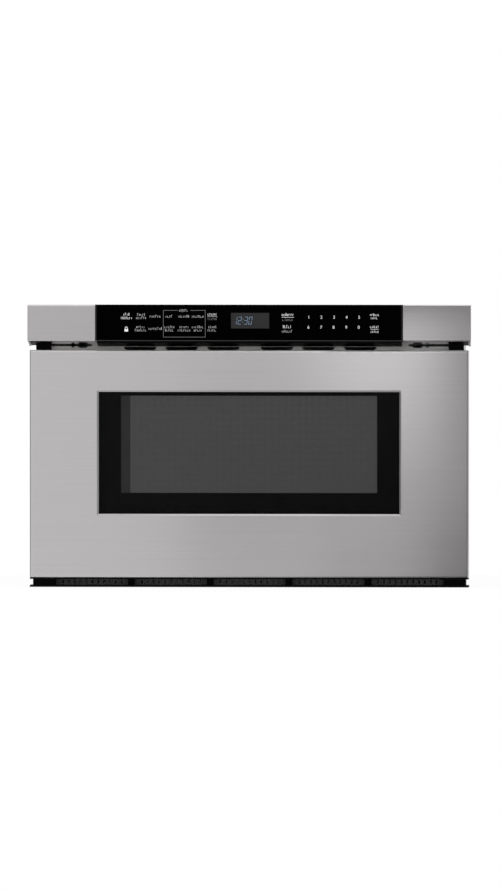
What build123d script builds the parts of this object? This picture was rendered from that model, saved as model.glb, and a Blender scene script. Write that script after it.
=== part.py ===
from build123d import *
import os
from math import acos, ceil, cos, pi, radians, sin, sqrt, tan

# Built-in microwave drawer, closed, in millimetres. +X is right, +Y is back, +Z is up and the front faces -Y.
# The origin is at the middle of the footprint, on the surface that the base stands on.

# Overall
FRONT_W = 606.0  # control panel, end to end
FRONT_H = 386.0  # base to the top of the control glass
DEPTH = 588.0  # control glass to the head of the cord gland
FRONT_T = 40.0  # front parts ahead of the cabinet's face
BODY_SIDE = 25.0  # panel beyond the body that goes into the cabinet, each side
BODY_DROP = 18.0  # top of the body below the top of the panel
BACK_RELIEF = 4.0  # gland and screw heads behind the back panel
SHEET = 1.0  # body sheet
FRAME_T = 2.0  # front frame plate
FLANGE_OUT = 14.7  # mounting flange beyond the body
CLEAR = 0.3  # gap between pieces that move past each other

# Control panel
GLASS_PROUD = 3.0
GLASS_SIDE = 92.5  # steel beside the control glass
PANEL_H = 50.1
STEEL_DROP = 0.8  # steel top below the glass top
CAP_T = 2.5
CHIN_SIDE = 2.5  # chin inside the ends of the glass
CHIN_DROP = 7.4
CHIN_T = 2.0
DISPLAY_W = 53.0
DISPLAY_H = 22.0
DISPLAY_X = 1.4
DISPLAY_UP = 10.9  # top of the display below the top of the glass
OPENING_SIDE = 12.0  # steel behind the ends of the glass
OPENING_LOW = 6.0
OPENING_DOWN = 7.0
PANEL_R = 1.6
HOUSING_T = 2.5
POST_L = 10.0
POST_R = 3.0
BOARD_SHARE = 0.8  # control board, as a share of the housing's width
BOARD_LOW = 8.0
BOARD_DOWN = 9.0
RELAYS = 5
RELAY_W = 22.0
RELAY_PITCH = 34.0
RELAY_H = 22.0
RELAY_T = 11.4
FILM_T = 0.6
CAP_FROM = 14.0  # ends closed by the caps from here back
CARRIER_W = 21.0
CARRIER_D = 9.0
CARRIER_ARM = 9.0

# Drawer door
DOOR_SIDE = 3.0  # panel beyond the door, each side
DOOR_Z0 = 12.4
DOOR_TOP_GAP = 12.0  # door top below the panel's lower edge
DOOR_SKIN_D = 28.0  # depth of the folded edges
DOOR_EDGE_R = 3.0
DOOR_TAPER = 1.6  # fall of the top fold towards the back
WINDOW_SIDE = 94.5  # steel beside the window
WINDOW_UP = 87.5  # window above the door's lower edge
WINDOW_DOWN = 57.2  # window below the door's upper edge
WINDOW_LIP = 2.5
WINDOW_LAP = 9.5  # glass behind the skin, each side
DOOR_GLASS_T = 4.0
SCREEN_T = 0.8
VIEW_SIDE = 24.5  # viewing tunnel inside the window's ends
VIEW_UP = 23.0  # viewing tunnel above the window's lower edge
VIEW_OVER = 0.2  # viewing tunnel above the window's upper edge
INNER_GLASS_T = 4.0
CHOKE_W = 16.0
CHOKE_DEEP = 18.0
PAN_GAP = 8.0  # door pan inside the skin

# Tub and cavity
COOK_SIDE = 52.0  # body beyond the cooking space, each side
ROOF_ROOM = 87.0  # body above the cavity ceiling
BAY_D = 113.0  # machine bay behind the cavity
TUB_FLOOR_Z = 100.0  # top of the ceramic plate
TUB_WALL = 2.0
TUB_HEAD = 31.0  # ceiling above the tub walls
TUB_BEAD_R = 3.0
CERAMIC_T = 6.0
TUB_LEDGE_T = 2.0
TUB_SKIRT = 12.0  # tub wall below the ceramic plate's top
TUB_GAP = 7.0
REAR_GAP = 6.0
ANTENNA_ROOM = 24.0  # cavity floor below the ceramic plate's top
TUB_LEDGE = 24.0
WELD_T = 1.5  # tub walls' flange at the door
WELD_W = 3.5
LAMP_IN = 22.0  # lamp inside the cavity wall
LAMP_BACK = 90.0
LAMP_W = 30.0
LAMP_D = 32.0
LAMP_H = 34.0
LAMP_WALL = 3.0
BULB_R = 8.0
BULB_UP = 14.0
BULB_NECK_R = 5.0
STEAM_R = 2.0
STEAM_PITCH = 9.0
STEAM_IN = 40.0

# Door catch
HOOK_IN = 35.0
HOOK_UP = 22.0
HOOK_L = 36.0
HOOK_T = 3.0
HOOK_HALF = 9.0
HOOK_FOOT_T = 1.2
HOOK_TIP = ((HOOK_L, -9), (HOOK_L, 1), (HOOK_L - 8, 1), (HOOK_L - 12, -3))
HOOK_SHAPE = ((0, -9), *HOOK_TIP, (8, -3), (1.2, 9), (0, 9))
SWITCH_L = 22.0
SWITCH_W = 9.0
SWITCH_BUTTON = 4.0
SWITCH_PLATE_T = 2.0

# Slides and drive
SLIDE_REST = 100.0  # part of the slide that stays in the body when it is out
SLIDE_END = 61.7  # slide short of the back panel's outside
SLIDE_H = 45.0
SLIDE_Z = 110.0
RAIL_T = 1.3
BALL_GAP = 3.2
RAIL_LIP = 10.0
SLIDE_T = 13.0
MODULE = 2.0
PINION_TEETH = 14
RACK_T = 12.0
RACK_PLATE_T = 2.3
RACK_SPARE = 40.0  # rack longer than the travel
PRESSURE_ANGLE = radians(20)
BACKLASH = 0.2
SHAFT_R = 5.0
SHAFT_Z = 48.0
SHAFT_IN = 39.0  # shaft behind the front frame's face
GEAR_MODULE = 1.5
DRIVEN_TEETH = 24
MOTOR_TEETH = 12
GEAR_T = 8.0
GEAR_X = 147.0
BUSH_R = 8.0
BUSH_LIP = 2.0
RUN_FIT = 0.05
STAND_T = 4.0
STAND_R = 14.0
STAND_FOOT = 18.0
STAND_FOOT_T = 3.0
OUTPUT_R = 3.0
OUTPUT_L = 12.0
GEARBOX_W = 30.0
GEARBOX_D = 60.0
GEARBOX_H = 44.0
GEARBOX_R = 5.0
GEARBOX_AHEAD = 18.0  # gearbox ahead of its output shaft
CAN_R = 17.0
CAN_L = 65.0
CAN_BACK = 20.0
CAN_TAIL_R = 9.0
CAN_TAIL = 5.0
BRACKET_T = 1.6
RAIL_ANGLE = 34.0
RAIL_ANGLE_FOOT = 12.0

# Microwave side
GUIDE_W = 96.0
GUIDE_H = 37.0
GUIDE_T = 1.2
ANTENNA_R = 66.0
ANTENNA_T = 1.5
ANTENNA_SHAFT_R = 4.0
MAGNETRON_W = 84.0
MAGNETRON_D = 70.0
MAGNETRON_H = 66.0
FAN_R = 41.0
FAN_TIP_GAP = 3.0
FAN_BLADES = 7
FAN_X = -70.0
FAN_UP = 10.0  # fan above the middle of the magnetron
FAN_HUB_R = 12.0
FAN_HUB_T = 16.0
FAN_SHAFT_R = 2.5
FAN_SHAFT_L = 40.0  # shaft behind the fan's middle
SHROUD_EDGE = 8.0
SHROUD_FOOT = 14.0
SHROUD_T = 2.0
SHROUD_DEEP = 22.0
ARM_W = 12.0
FAN_STACK_W = 48.0
FAN_STACK_T = 16.0
FAN_STACK_DOWN = 18.0
FAN_STACK_UP = 30.0
FAN_COIL = 10.0
FAN_BELL_R = 11.0
YOKE_T = 1.5
ANODE_R = 19.0
FINS = 7
FIN_T = 0.8
FIN_IN = 14.0
FILTER_BOX = 52.0
FILTER_BOX_D = 48.0
FILTER_BOX_H = 26.0
DOME_R = 7.5
DOME_L = 24.0
GUIDE_AHEAD = 32.0  # guide ahead of the antenna's shaft
GUIDE_BEHIND = 40.0  # guide behind the magnetron's middle
DOME_HOLE_R = 14.0
TURNER_R = 25.0
TURNER_H = 18.0
TURNER_EAR = 66.0
TURNER_EAR_W = 12.0
CORE_W = 94.0
CORE_D = 56.0
CORE_H = 78.0
CORE_IN = 66.0  # transformer inside the body's right side
CORE_WINDOW = 15.0
CORE_FOOT = 8.0
CORE_FOOT_T = 3.0
CAP_CAN_W = 54.0
CAP_CAN_D = 32.0
CAP_CAN_H = 92.0
CAP_IN = 122.0  # capacitor inside the body's left side
CAP_TAB = 12.0
CAP_BAND = 1.5
CAP_BAND_LOW = 40.0
CAP_BAND_H = 18.0
DIODE_R = 4.0
DIODE_L = 21.0
LEAD_R = 0.9
DUCT_DOWN = 22.0  # duct's roof below the lid
SENSOR_X = 90.0
SENSOR_R = 9.0
SENSOR_H = 12.0
CUTOUT_R = 7.0
CUTOUT_H = 8.0
FILTER_W = 46.0
FILTER_L = 100.0
FILTER_IN = 4.0
FILTER_BACK = 54.0  # line filter ahead of the cavity's back
BOARD_T = 1.6
STANDOFF_R = 2.5
STANDOFF_H = 5.0
CHOKE_COIL_W = 28.0
CHOKE_COIL_D = 32.0
CHOKE_COIL_H = 23.4

# Air ways
VENT_IN = 62.5  # outermost outlet inside the cavity wall
VENT_BAR = 13.0  # steel between two outlets
VENT_H = 10.0
VENT_DOWN = 0.9  # outlets below the chin's lower edge
VENT_SHOULDER = 2.2  # upright part of an outlet's ends
VENT_SLOPE = 1.5  # narrowing of an outlet's end for each millimetre down
VENT_X0 = 36.5  # first outlet's middle from the centre line
KEYHOLE_UP = 6.0  # keyhole slots above the door's top
KEYHOLE_IN = 44.5  # keyhole slots outside the outlets' span
KEYHOLE_END = 21.0  # keyhole slots inside the flange's edge
KEYHOLE_H = 3.4
KEYHOLE_SIX = ((-8.5, 0), (-5, -4), (5, -4), (8.5, 0), (5, 4), (-5, 4))
KEYHOLE_SIX_IN = 12.0
KEYHOLE_BULB_IN = 25.5
KEYHOLE_BULB_H = 7.2
INTAKE_H = 11.9
INTAKE_D = 25.0
INTAKE_LIP = 2.3
INTAKE_RIB = 9.0
INTAKE_END = 35.0
INTAKE_END_IN = 4.0  # closed ends inside the channel's own ends
INTAKE_ROOF_T = 1.0
INTAKE_DEEP = 14.0  # ribs behind the door's face
INTAKE_HOLE_W = 2.5
INTAKE_HOLE_H = 5.0
INTAKE_HOLE_PITCH = 8.0
AIR_SLOT = 4.0
AIR_PITCH = 9.0
AIR_BAR = 15.0  # sheet between the ends of two air slots
FLOOR_AIR = 44.0
SIDE_AIR = 50.0
TOP_AIR = 55.0
BACK_AIR = 76.0
INLET_AIR = 84.0
AIR_UP = 0.62  # middle of the upper slots, as a share of the body's height
INLET_UP = 0.34
PAN_T = 1.2
PAN_H = 15.0

# Fastening and mounting
SCREW_R = 1.6
SCREW_HEAD = 1.8
MOUNT_HOLE_R = 2.6
MOUNT_LOW = 60.0
MOUNT_DOWN = 68.0  # upper mounting holes below the body's top
GLAND_R = 5.5
GLAND_IN = 58.0
GLAND_DOWN = 38.0
GLAND_NECK = 3.0
GLAND_HEAD = 6.0
GLAND_LONG = 8.0
SCREW_IN = 8.0  # screws inside the body's sides
SCREW_LOW = 30.0
SCREW_DOWN = 40.0
SCREW_END = 20.0
RAIL_SCREW_END = 40.0
FIELD_WIDE = 0.8  # raised field of the lid, as a share of its width
FIELD_FRONT = 60.0
FIELD_REAR = 40.0
FIELD_R = 20.0
FIELD_UP = 3.0

# Planes that the pieces share
Y_FRONT = -DEPTH / 2
Y_FACE = Y_FRONT + GLASS_PROUD
Y_FLANGE = Y_FRONT + FRONT_T
Y_BODY = Y_FLANGE + FRAME_T
Y_REAR = DEPTH / 2 - BACK_RELIEF
BODY_X = FRONT_W / 2 - BODY_SIDE
BODY_Z = FRONT_H - BODY_DROP
FLANGE_X = BODY_X + FLANGE_OUT
INSIDE_X = BODY_X - SHEET
PANEL_Z = FRONT_H - PANEL_H
MOUNT_Z = (MOUNT_LOW, BODY_Z - MOUNT_DOWN)
GLAND_X = GLAND_IN - BODY_X
GLAND_Z = BODY_Z - GLAND_DOWN
GLASS_X = FRONT_W / 2 - GLASS_SIDE
DOOR_X = FRONT_W / 2 - DOOR_SIDE
DOOR_TOP = PANEL_Z - DOOR_TOP_GAP
WINDOW_X = DOOR_X - WINDOW_SIDE
WINDOW_Z0 = DOOR_Z0 + WINDOW_UP
WINDOW_Z1 = DOOR_TOP - WINDOW_DOWN
VIEW_X = WINDOW_X - VIEW_SIDE
VIEW_Z0 = WINDOW_Z0 + VIEW_UP
VIEW_Z1 = WINDOW_Z1 + VIEW_OVER
Y_PAN = Y_FLANGE - FRAME_T  # back of the door
Y_PANEL = Y_FLANGE - 1.0  # back of the control panel
Y_GLASS = Y_FACE + WINDOW_LIP + CLEAR
Y_SCREEN = Y_GLASS + DOOR_GLASS_T + CLEAR
PAN_X = DOOR_X - SHEET - PAN_GAP
PAN_Z0 = DOOR_Z0 + SHEET + PAN_GAP
PAN_Z1 = DOOR_TOP - SHEET - PAN_GAP
TUB_IN = BODY_X - COOK_SIDE
TUB_X = TUB_IN + TUB_WALL
CAV_BACK = Y_REAR - SHEET - BAY_D
TUB_BACK = CAV_BACK - REAR_GAP - TUB_WALL
TUB_Z0 = TUB_FLOOR_Z - TUB_SKIRT
CAV_Z1 = BODY_Z - ROOF_ROOM
TUB_TOP = CAV_Z1 - TUB_HEAD
CAV_X = TUB_X + TUB_GAP
CAV_Z0 = TUB_FLOOR_Z - ANTENNA_ROOM
CHOKE_X = CAV_X + CHOKE_W / 2 + 5.0
SLIDE_L = Y_REAR - SLIDE_END - Y_BODY - CLEAR
TRAVEL = SLIDE_L - SLIDE_REST
RACK_L = TRAVEL + RACK_SPARE
MID_HALF = SLIDE_H / 2 - RAIL_T - BALL_GAP
INNER_HALF = MID_HALF - RAIL_T - BALL_GAP
VENT_SPAN = CAV_X - VENT_IN
VENT_PITCH = (VENT_SPAN - VENT_X0 + VENT_BAR / 2) / 2.5
VENT_W = VENT_PITCH - VENT_BAR
PINION_R = MODULE * PINION_TEETH / 2
RACK_Z = SHAFT_Z + PINION_R
RACK_X = INSIDE_X - SLIDE_T
SHAFT_Y = Y_FLANGE + SHAFT_IN
PITCH = pi * MODULE
GEAR_GAP = GEAR_MODULE * (DRIVEN_TEETH + MOTOR_TEETH) / 2
SLOT_IN = RACK_X - RACK_T - 2.0
BEARING_X = SLOT_IN - 2.0
GEARBOX_X = GEAR_X - GEAR_T / 2 - 2.0
GUIDE_Z1 = CAV_Z0 - SHEET
GUIDE_Z0 = GUIDE_Z1 - GUIDE_H
FAN_Z = GUIDE_Z1 + MAGNETRON_H / 2 + FAN_UP
ANTENNA_Y = (Y_BODY + CAV_BACK) / 2
BAY_Y = (CAV_BACK + SHEET + Y_REAR - SHEET) / 2
OUTLET_Z = PANEL_Z - CHIN_DROP - VENT_DOWN  # top of the outlets
CORE_X = BODY_X - CORE_IN
CAP_X = CAP_IN - BODY_X


def block(x0, x1, y0, y1, z0, z1):
    """Box between two corners."""
    middle = Pos((x0 + x1) / 2, (y0 + y1) / 2, (z0 + z1) / 2)
    return middle * Box(abs(x1 - x0), abs(y1 - y0), abs(z1 - z0))


def rect(u0, u1, v0, v1):
    """Flat rectangle between two corners."""
    return Pos((u0 + u1) / 2, (v0 + v1) / 2) * Rectangle(abs(u1 - u0), abs(v1 - v0))


def polygon(*points):
    return make_face(Polyline(*points, close=True))


def strip(thick, *path):
    """Folded sheet's section: PATH with THICK added on its left."""
    return make_face(offset(Polyline(*path), amount=thick, side=Side.LEFT, kind=Kind.INTERSECTION))


def along_x(face, x0, x1):
    """A (Y, Z) section from x0 to x1."""
    return Pos(x0, 0, 0) * extrude(Plane.YZ * face, amount=x1 - x0)


def along_y(face, y0, y1):
    """An (X, Z) section from y0 to y1."""
    return Pos(0, y1, 0) * extrude(Plane.XZ * face, amount=y1 - y0)


def along_z(face, z0, z1):
    """An (X, Y) section from z0 to z1."""
    return Pos(0, 0, z0) * extrude(face, amount=z1 - z0)


def disc_x(radius, y, z, x0, x1):
    return along_x(Pos(y, z) * Circle(radius), x0, x1)


def disc_y(radius, x, z, y0, y1):
    return along_y(Pos(x, z) * Circle(radius), y0, y1)


def disc_z(radius, x, y, z0, z1):
    return along_z(Pos(x, y) * Circle(radius), z0, z1)


def ring(u0, u1, v0, v1, wide):
    """Rectangular ring that goes WIDE outside the given opening."""
    return rect(u0 - wide, u1 + wide, v0 - wide, v1 + wide) - rect(u0, u1, v0, v1)


def slots(columns, rows, pitch_u, pitch_v, size_u, size_v):
    """Field of round-ended slots about the sketch's origin."""
    spots = GridLocations(pitch_u, pitch_v, columns, rows)
    turn = 0 if size_u > size_v else 90
    one = Rot(0, 0, turn) * SlotOverall(max(size_u, size_v), min(size_u, size_v))
    return Sketch() + [spot * one for spot in spots]


def air_slots(columns, rows, length):
    """Field of lying air slots about the sketch's origin."""
    return slots(columns, rows, length + AIR_BAR, AIR_PITCH, length, AIR_SLOT)


def group(pieces):
    """Separate solids in one node."""
    return Compound([solid for piece in pieces for solid in piece.solids()])


def to_left(piece):
    return mirror(piece, about=Plane.YZ)


def save(name, piece):
    export_step(piece, f"parts/{name}.step")


# Body


def base_pan():
    """Floor tray with turned-up edges and two fields of air slots."""
    tray = block(-INSIDE_X, INSIDE_X, Y_BODY, Y_REAR - SHEET, 0, PAN_H)
    tray -= block(PAN_T - INSIDE_X, INSIDE_X - PAN_T, Y_BODY + PAN_T, Y_REAR - SHEET - PAN_T, PAN_T, PAN_H)
    for x in (-INSIDE_X / 2, INSIDE_X / 2):
        tray -= along_z(Pos(x, (Y_BODY + Y_REAR) / 2) * air_slots(2, 8, FLOOR_AIR), 0, PAN_T)
    return tray


def side_panel():
    """Right side: sheet with a top flange, a rear flange and air slots beside the machine bay."""
    depth = Y_REAR - SHEET
    section = strip(SHEET, (BODY_X, 0), (BODY_X, BODY_Z - SHEET), (BODY_X - FLANGE_OUT, BODY_Z - SHEET))
    panel = along_y(section, Y_BODY, depth)
    panel += block(BODY_X - FLANGE_OUT, BODY_X - SHEET, depth - SHEET, depth, PAN_H + CLEAR, BODY_Z - SHEET)
    vents = Pos(BAY_Y, BODY_Z * AIR_UP) * slots(8, 2, AIR_PITCH, SIDE_AIR + AIR_BAR, AIR_SLOT, SIDE_AIR)
    panel -= along_x(vents, INSIDE_X, BODY_X)
    panel -= [along_x(hole, INSIDE_X, BODY_X) for hole in rail_holes()]
    panel -= [along_y(hole, depth - SHEET, depth) for hole in screw_holes(back_screw_places())]
    top = BODY_Z - SHEET
    return panel - [along_z(hole, top - SHEET, top) for hole in screw_holes(top_screw_places())]


def top_cover():
    """Lid with a shallow raised field and slots above the machine bay."""
    lid = block(-BODY_X, BODY_X, Y_BODY, Y_REAR, BODY_Z - SHEET, BODY_Z)
    wide = BODY_X * FIELD_WIDE
    field = rect(-wide, wide, Y_BODY + FIELD_FRONT, CAV_BACK - FIELD_REAR)
    lid += along_z(fillet(field.vertices(), FIELD_R), BODY_Z, BODY_Z + FIELD_UP)
    inner = fillet(offset(field, -2 * SHEET, kind=Kind.INTERSECTION).vertices(), FIELD_R - SHEET)
    lid -= along_z(inner, BODY_Z - SHEET, BODY_Z + FIELD_UP - SHEET)
    lid -= along_z(Pos(0, BAY_Y) * air_slots(3, 5, TOP_AIR), BODY_Z - SHEET, BODY_Z)
    return lid - [along_z(hole, BODY_Z - SHEET, BODY_Z) for hole in screw_holes(top_screw_places())]


def back_panel():
    """Rear sheet with a louvre field, a fan inlet and the cord hole."""
    sheet = rect(-BODY_X, BODY_X, 0, BODY_Z - SHEET)
    sheet -= Pos(BODY_X / 2, BODY_Z * AIR_UP) * air_slots(2, 10, BACK_AIR)
    sheet -= Pos(-BODY_X / 3, BODY_Z * INLET_UP) * air_slots(1, 9, INLET_AIR)
    sheet -= Pos(GLAND_X, GLAND_Z) * Circle(GLAND_R + GLAND_NECK)
    sheet -= screw_holes(back_screw_places())
    return along_y(sheet, Y_REAR - SHEET, Y_REAR)


def cord_gland():
    """Snap-in bush that the supply cord goes through."""
    y0 = Y_REAR - SHEET - GLAND_LONG
    head = disc_y(GLAND_R + GLAND_HEAD, GLAND_X, GLAND_Z, Y_REAR, DEPTH / 2)
    neck = disc_y(GLAND_R + GLAND_NECK - CLEAR / 3, GLAND_X, GLAND_Z, y0, Y_REAR)
    return head + neck - disc_y(GLAND_R, GLAND_X, GLAND_Z, y0, DEPTH / 2)


def outlet_places():
    """Middles of the air outlets, left to right."""
    right = [VENT_X0 + n * VENT_PITCH for n in range(3)]
    return [-x for x in reversed(right)] + right


def outlet_face(x):
    """Outlet with short upright ends that then slope inwards, narrow side down."""
    top = VENT_W / 2
    low = top - (VENT_H - VENT_SHOULDER) * VENT_SLOPE
    z0 = OUTLET_Z - VENT_H
    z = OUTLET_Z - VENT_SHOULDER
    right = [(low, z0), (top, z), (top, OUTLET_Z)]
    return polygon(*[(x + u, v) for u, v in right], *[(x - u, v) for u, v in reversed(right)])


def keyhole_face():
    """Right-hand slot with a round and a six-sided widening."""
    z = DOOR_TOP + KEYHOLE_UP
    inner = VENT_SPAN + KEYHOLE_IN
    half = KEYHOLE_H / 2
    face = rect(inner, FLANGE_X - KEYHOLE_END, z - half, z + half)
    face += Pos(inner + KEYHOLE_BULB_IN, z) * Rectangle(KEYHOLE_H, KEYHOLE_BULB_H)
    return face + Pos(inner + KEYHOLE_SIX_IN, z) * polygon(*KEYHOLE_SIX)


def hook_place():
    """Middle of the right-hand door hook, (x, z)."""
    return CAV_X - HOOK_IN, CAV_Z1 + HOOK_UP


def front_frame():
    """Plate round the cavity mouth, with mounting flanges, slide slots and air outlets."""
    plate = rect(-FLANGE_X, FLANGE_X, 0, BODY_Z - SHEET)
    plate -= rect(-CAV_X, CAV_X, CAV_Z0, CAV_Z1)
    rack_low = RACK_Z - MODULE - 2.5
    x, z = hook_place()
    right = rect(SLOT_IN, INSIDE_X - 2 * RAIL_T, rack_low, SLIDE_Z + SLIDE_H / 2)
    wide = HOOK_T / 2 + 2
    high = HOOK_HALF + 2
    right += rect(x - wide, x + wide, z - high, z + high)
    for mount_z in MOUNT_Z:
        right += Pos(FLANGE_X - FLANGE_OUT / 2, mount_z) * Circle(MOUNT_HOLE_R)
    right += keyhole_face()
    plate -= right
    plate -= mirror(right, about=Plane.YZ)
    plate -= [outlet_face(x) for x in outlet_places()]
    plate -= [rect(a, b, INTAKE_LIP + 2, INTAKE_H - 1.5) for a, b in intake_windows()]
    return along_y(plate, Y_FLANGE, Y_BODY)


def intake_windows():
    """Left and right edge of each opening between the intake's ribs."""
    inner = 2 * (DOOR_X - INTAKE_END)
    wide = (inner - 4 * INTAKE_RIB) / 5
    lefts = [n * (wide + INTAKE_RIB) - inner / 2 for n in range(5)]
    return [(left, left + wide) for left in lefts]


def intake_channel():
    """Air intake under the door: open-fronted channel with closed ends and four ribs."""
    section = rect(Y_FACE, Y_FLANGE, 0, INTAKE_LIP)
    section += rect(Y_FACE, Y_FACE + INTAKE_D, INTAKE_H - INTAKE_ROOF_T, INTAKE_H)
    channel = along_x(section, -DOOR_X, DOOR_X)
    inner = DOOR_X - INTAKE_END
    outer = DOOR_X - INTAKE_END_IN
    for x0, x1 in ((-outer, -inner), (inner, outer)):
        channel += block(x0, x1, Y_FACE + INTAKE_DEEP - INTAKE_END_IN, Y_FLANGE, INTAKE_LIP, INTAKE_H)
    windows = intake_windows()
    for (_, left), (right, _) in zip(windows, windows[1:]):
        channel += block(left, right, Y_FACE + INTAKE_DEEP, Y_FLANGE, INTAKE_LIP, INTAKE_H)
    return channel


def intake_screen():
    """Perforated strips behind the channel's ribs, one in each opening."""
    y = Y_FACE + INTAKE_D
    z1 = INTAKE_H - INTAKE_ROOF_T
    strips = []
    for x0, x1 in intake_windows():
        holes = int((x1 - x0) / INTAKE_HOLE_PITCH) - 1
        field = slots(holes, 1, INTAKE_HOLE_PITCH, 1, INTAKE_HOLE_W, INTAKE_HOLE_H)
        face = rect(x0, x1, INTAKE_LIP, z1) - Pos((x0 + x1) / 2, (INTAKE_LIP + z1) / 2) * field
        strips.append(along_y(face, y, y + SHEET))
    return group(strips)


# Oven cavity


def cavity_floor():
    sheet = rect(-CAV_X, CAV_X, Y_BODY, CAV_BACK)
    sheet -= Pos(0, ANTENNA_Y) * Circle(4 * ANTENNA_SHAFT_R)
    return along_z(sheet, CAV_Z0 - SHEET, CAV_Z0)


def cavity_ceiling():
    """Ceiling with the steam holes and the lamp's holes."""
    sheet = rect(-CAV_X, CAV_X, Y_BODY, CAV_BACK)
    hole = Circle(STEAM_R)
    grid = GridLocations(STEAM_PITCH, STEAM_PITCH, 8, 3)
    steam = [Pos(0, CAV_BACK - STEAM_IN) * spot * hole for spot in grid]
    lamp = [Pos(*lamp_place()) * spot * hole for spot in GridLocations(7, 7, 3, 4)]
    return along_z(sheet - steam - lamp, CAV_Z1, CAV_Z1 + SHEET)


def cavity_side():
    """Right wall with a welding flange on the front frame."""
    wall = block(CAV_X, CAV_X + SHEET, Y_BODY, CAV_BACK, CAV_Z0 - SHEET, CAV_Z1 + SHEET)
    return wall + block(CAV_X, CAV_X + 10, Y_BODY, Y_BODY + SHEET, CAV_Z0 + 70, CAV_Z1 + SHEET)


def cavity_rear():
    return block(-CAV_X - SHEET, CAV_X + SHEET, CAV_BACK, CAV_BACK + SHEET, CAV_Z0 - SHEET, CAV_Z1 + SHEET)


def lamp_place():
    """Middle of the oven lamp, (x, y)."""
    return CAV_X - LAMP_IN, ANTENNA_Y + LAMP_BACK


def oven_lamp():
    """Lamp holder with a bulb over the holes in the ceiling."""
    x, y = lamp_place()
    z0 = CAV_Z1 + SHEET
    z1 = z0 + LAMP_H - LAMP_WALL
    section = rect(x - LAMP_W / 2, x + LAMP_W / 2, y - LAMP_D / 2, y + LAMP_D / 2)
    holder = along_z(section, z0, z1 + LAMP_WALL)
    holder -= along_z(offset(section, -LAMP_WALL, kind=Kind.INTERSECTION), z0, z1)
    bulb = Pos(x, y, z0 + BULB_UP) * Sphere(BULB_R)
    return group([holder, bulb + disc_z(BULB_NECK_R, x, y, z0 + BULB_UP + 2, z1)])


# Tub


def tub_side():
    """Right wall of the tub, with a rolled bead on its top edge and a welding flange at the door."""
    wall = block(TUB_IN, TUB_X, Y_PAN, TUB_BACK, TUB_Z0, TUB_TOP)
    wall += block(TUB_IN, TUB_X + WELD_W, Y_PAN, Y_PAN + WELD_T, TUB_Z0, TUB_TOP)
    return wall + disc_y(TUB_BEAD_R, TUB_X, TUB_TOP, Y_PAN, TUB_BACK)


def tub_rear():
    wall = block(-TUB_X, TUB_X, TUB_BACK, TUB_BACK + TUB_WALL, TUB_Z0, TUB_TOP)
    return wall + disc_x(TUB_BEAD_R, TUB_BACK + TUB_BEAD_R, TUB_TOP, -TUB_X, TUB_X)


def tub_floor_frame():
    """Ledge round the tub that the ceramic plate lies on, folded down at its inner edge."""
    z1 = TUB_FLOOR_Z - CERAMIC_T
    x = TUB_IN - TUB_LEDGE
    y0 = Y_PAN + TUB_LEDGE
    y1 = TUB_BACK - TUB_LEDGE
    outer = rect(-TUB_IN, TUB_IN, Y_PAN, TUB_BACK)
    top = along_z(outer - rect(-x, x, y0, y1), z1 - TUB_LEDGE_T, z1)
    return top + along_z(ring(-x, x, y0, y1, TUB_LEDGE_T), TUB_Z0, z1)


def ceramic_floor():
    """Glass-ceramic plate with eased edges."""
    gap = CLEAR
    z0 = TUB_FLOOR_Z - CERAMIC_T
    plate = block(gap - TUB_IN, TUB_IN - gap, Y_PAN + gap, TUB_BACK - gap, z0, TUB_FLOOR_Z)
    return chamfer(plate.faces().sort_by(Axis.Z)[-1].edges(), 1.0)


# Door


def skin_prism(inset):
    """The door's outer block, INSET inside its surface, with a top that falls towards the back."""
    y0 = Y_FACE + inset
    y1 = Y_FACE + DOOR_SKIN_D
    z0 = DOOR_Z0 + inset
    z1 = DOOR_TOP - inset
    section = polygon((y0, z0), (y1, z0), (y1, z1 - DOOR_TAPER), (y0, z1))
    prism = along_x(section, inset - DOOR_X, DOOR_X - inset)
    edges = prism.faces().sort_by(Axis.Y)[0].edges()
    return fillet(edges, DOOR_EDGE_R - inset)


def frustum(grow, y0, y1):
    """Block through the window whose front is wider than its back by the lip's slope."""
    front = Plane.XZ.offset(-y0) * rect(
        -WINDOW_X - grow - WINDOW_LIP, WINDOW_X + grow + WINDOW_LIP,
        WINDOW_Z0 - grow - WINDOW_LIP, WINDOW_Z1 + grow + WINDOW_LIP)
    back = Plane.XZ.offset(-y1) * rect(
        -WINDOW_X - grow, WINDOW_X + grow, WINDOW_Z0 - grow, WINDOW_Z1 + grow)
    return loft([front, back])


def door_skin():
    """Stainless outer skin: face, folded edges with a hem, and a sloped lip round the window."""
    skin = skin_prism(0) - skin_prism(SHEET)
    hem_y = Y_FACE + DOOR_SKIN_D
    wall = SHEET / 2
    outer = rect(-DOOR_X + wall, DOOR_X - wall, DOOR_Z0 + wall, DOOR_TOP - wall - DOOR_TAPER)
    hem = along_y(outer - rect(-PAN_X, PAN_X, PAN_Z0, PAN_Z1), hem_y - SHEET, hem_y)
    lip_end = Y_FACE + WINDOW_LIP
    skin += hem + frustum(SHEET, Y_FACE, lip_end)
    return skin - frustum(0, Y_FACE, lip_end)


def window_gasket():
    lap = WINDOW_LAP
    face = ring(-WINDOW_X - 4, WINDOW_X + 4, WINDOW_Z0 - 4, WINDOW_Z1 + 4, lap - 5)
    return along_y(face, Y_FACE + SHEET, Y_GLASS)


def door_glass():
    lap = WINDOW_LAP
    x = WINDOW_X + lap
    pane = block(-x, x, Y_GLASS, Y_GLASS + DOOR_GLASS_T, WINDOW_Z0 - lap, WINDOW_Z1 + lap)
    return chamfer(pane.edges().filter_by(Axis.Y), 2.0)


def door_screen():
    """Shielding screen behind the door glass, wider than the viewing tunnel by its rim."""
    rim = 5.0
    return block(-VIEW_X - rim, VIEW_X + rim, Y_SCREEN, Y_SCREEN + SCREEN_T, VIEW_Z0 - rim, VIEW_Z1 + rim)


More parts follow.
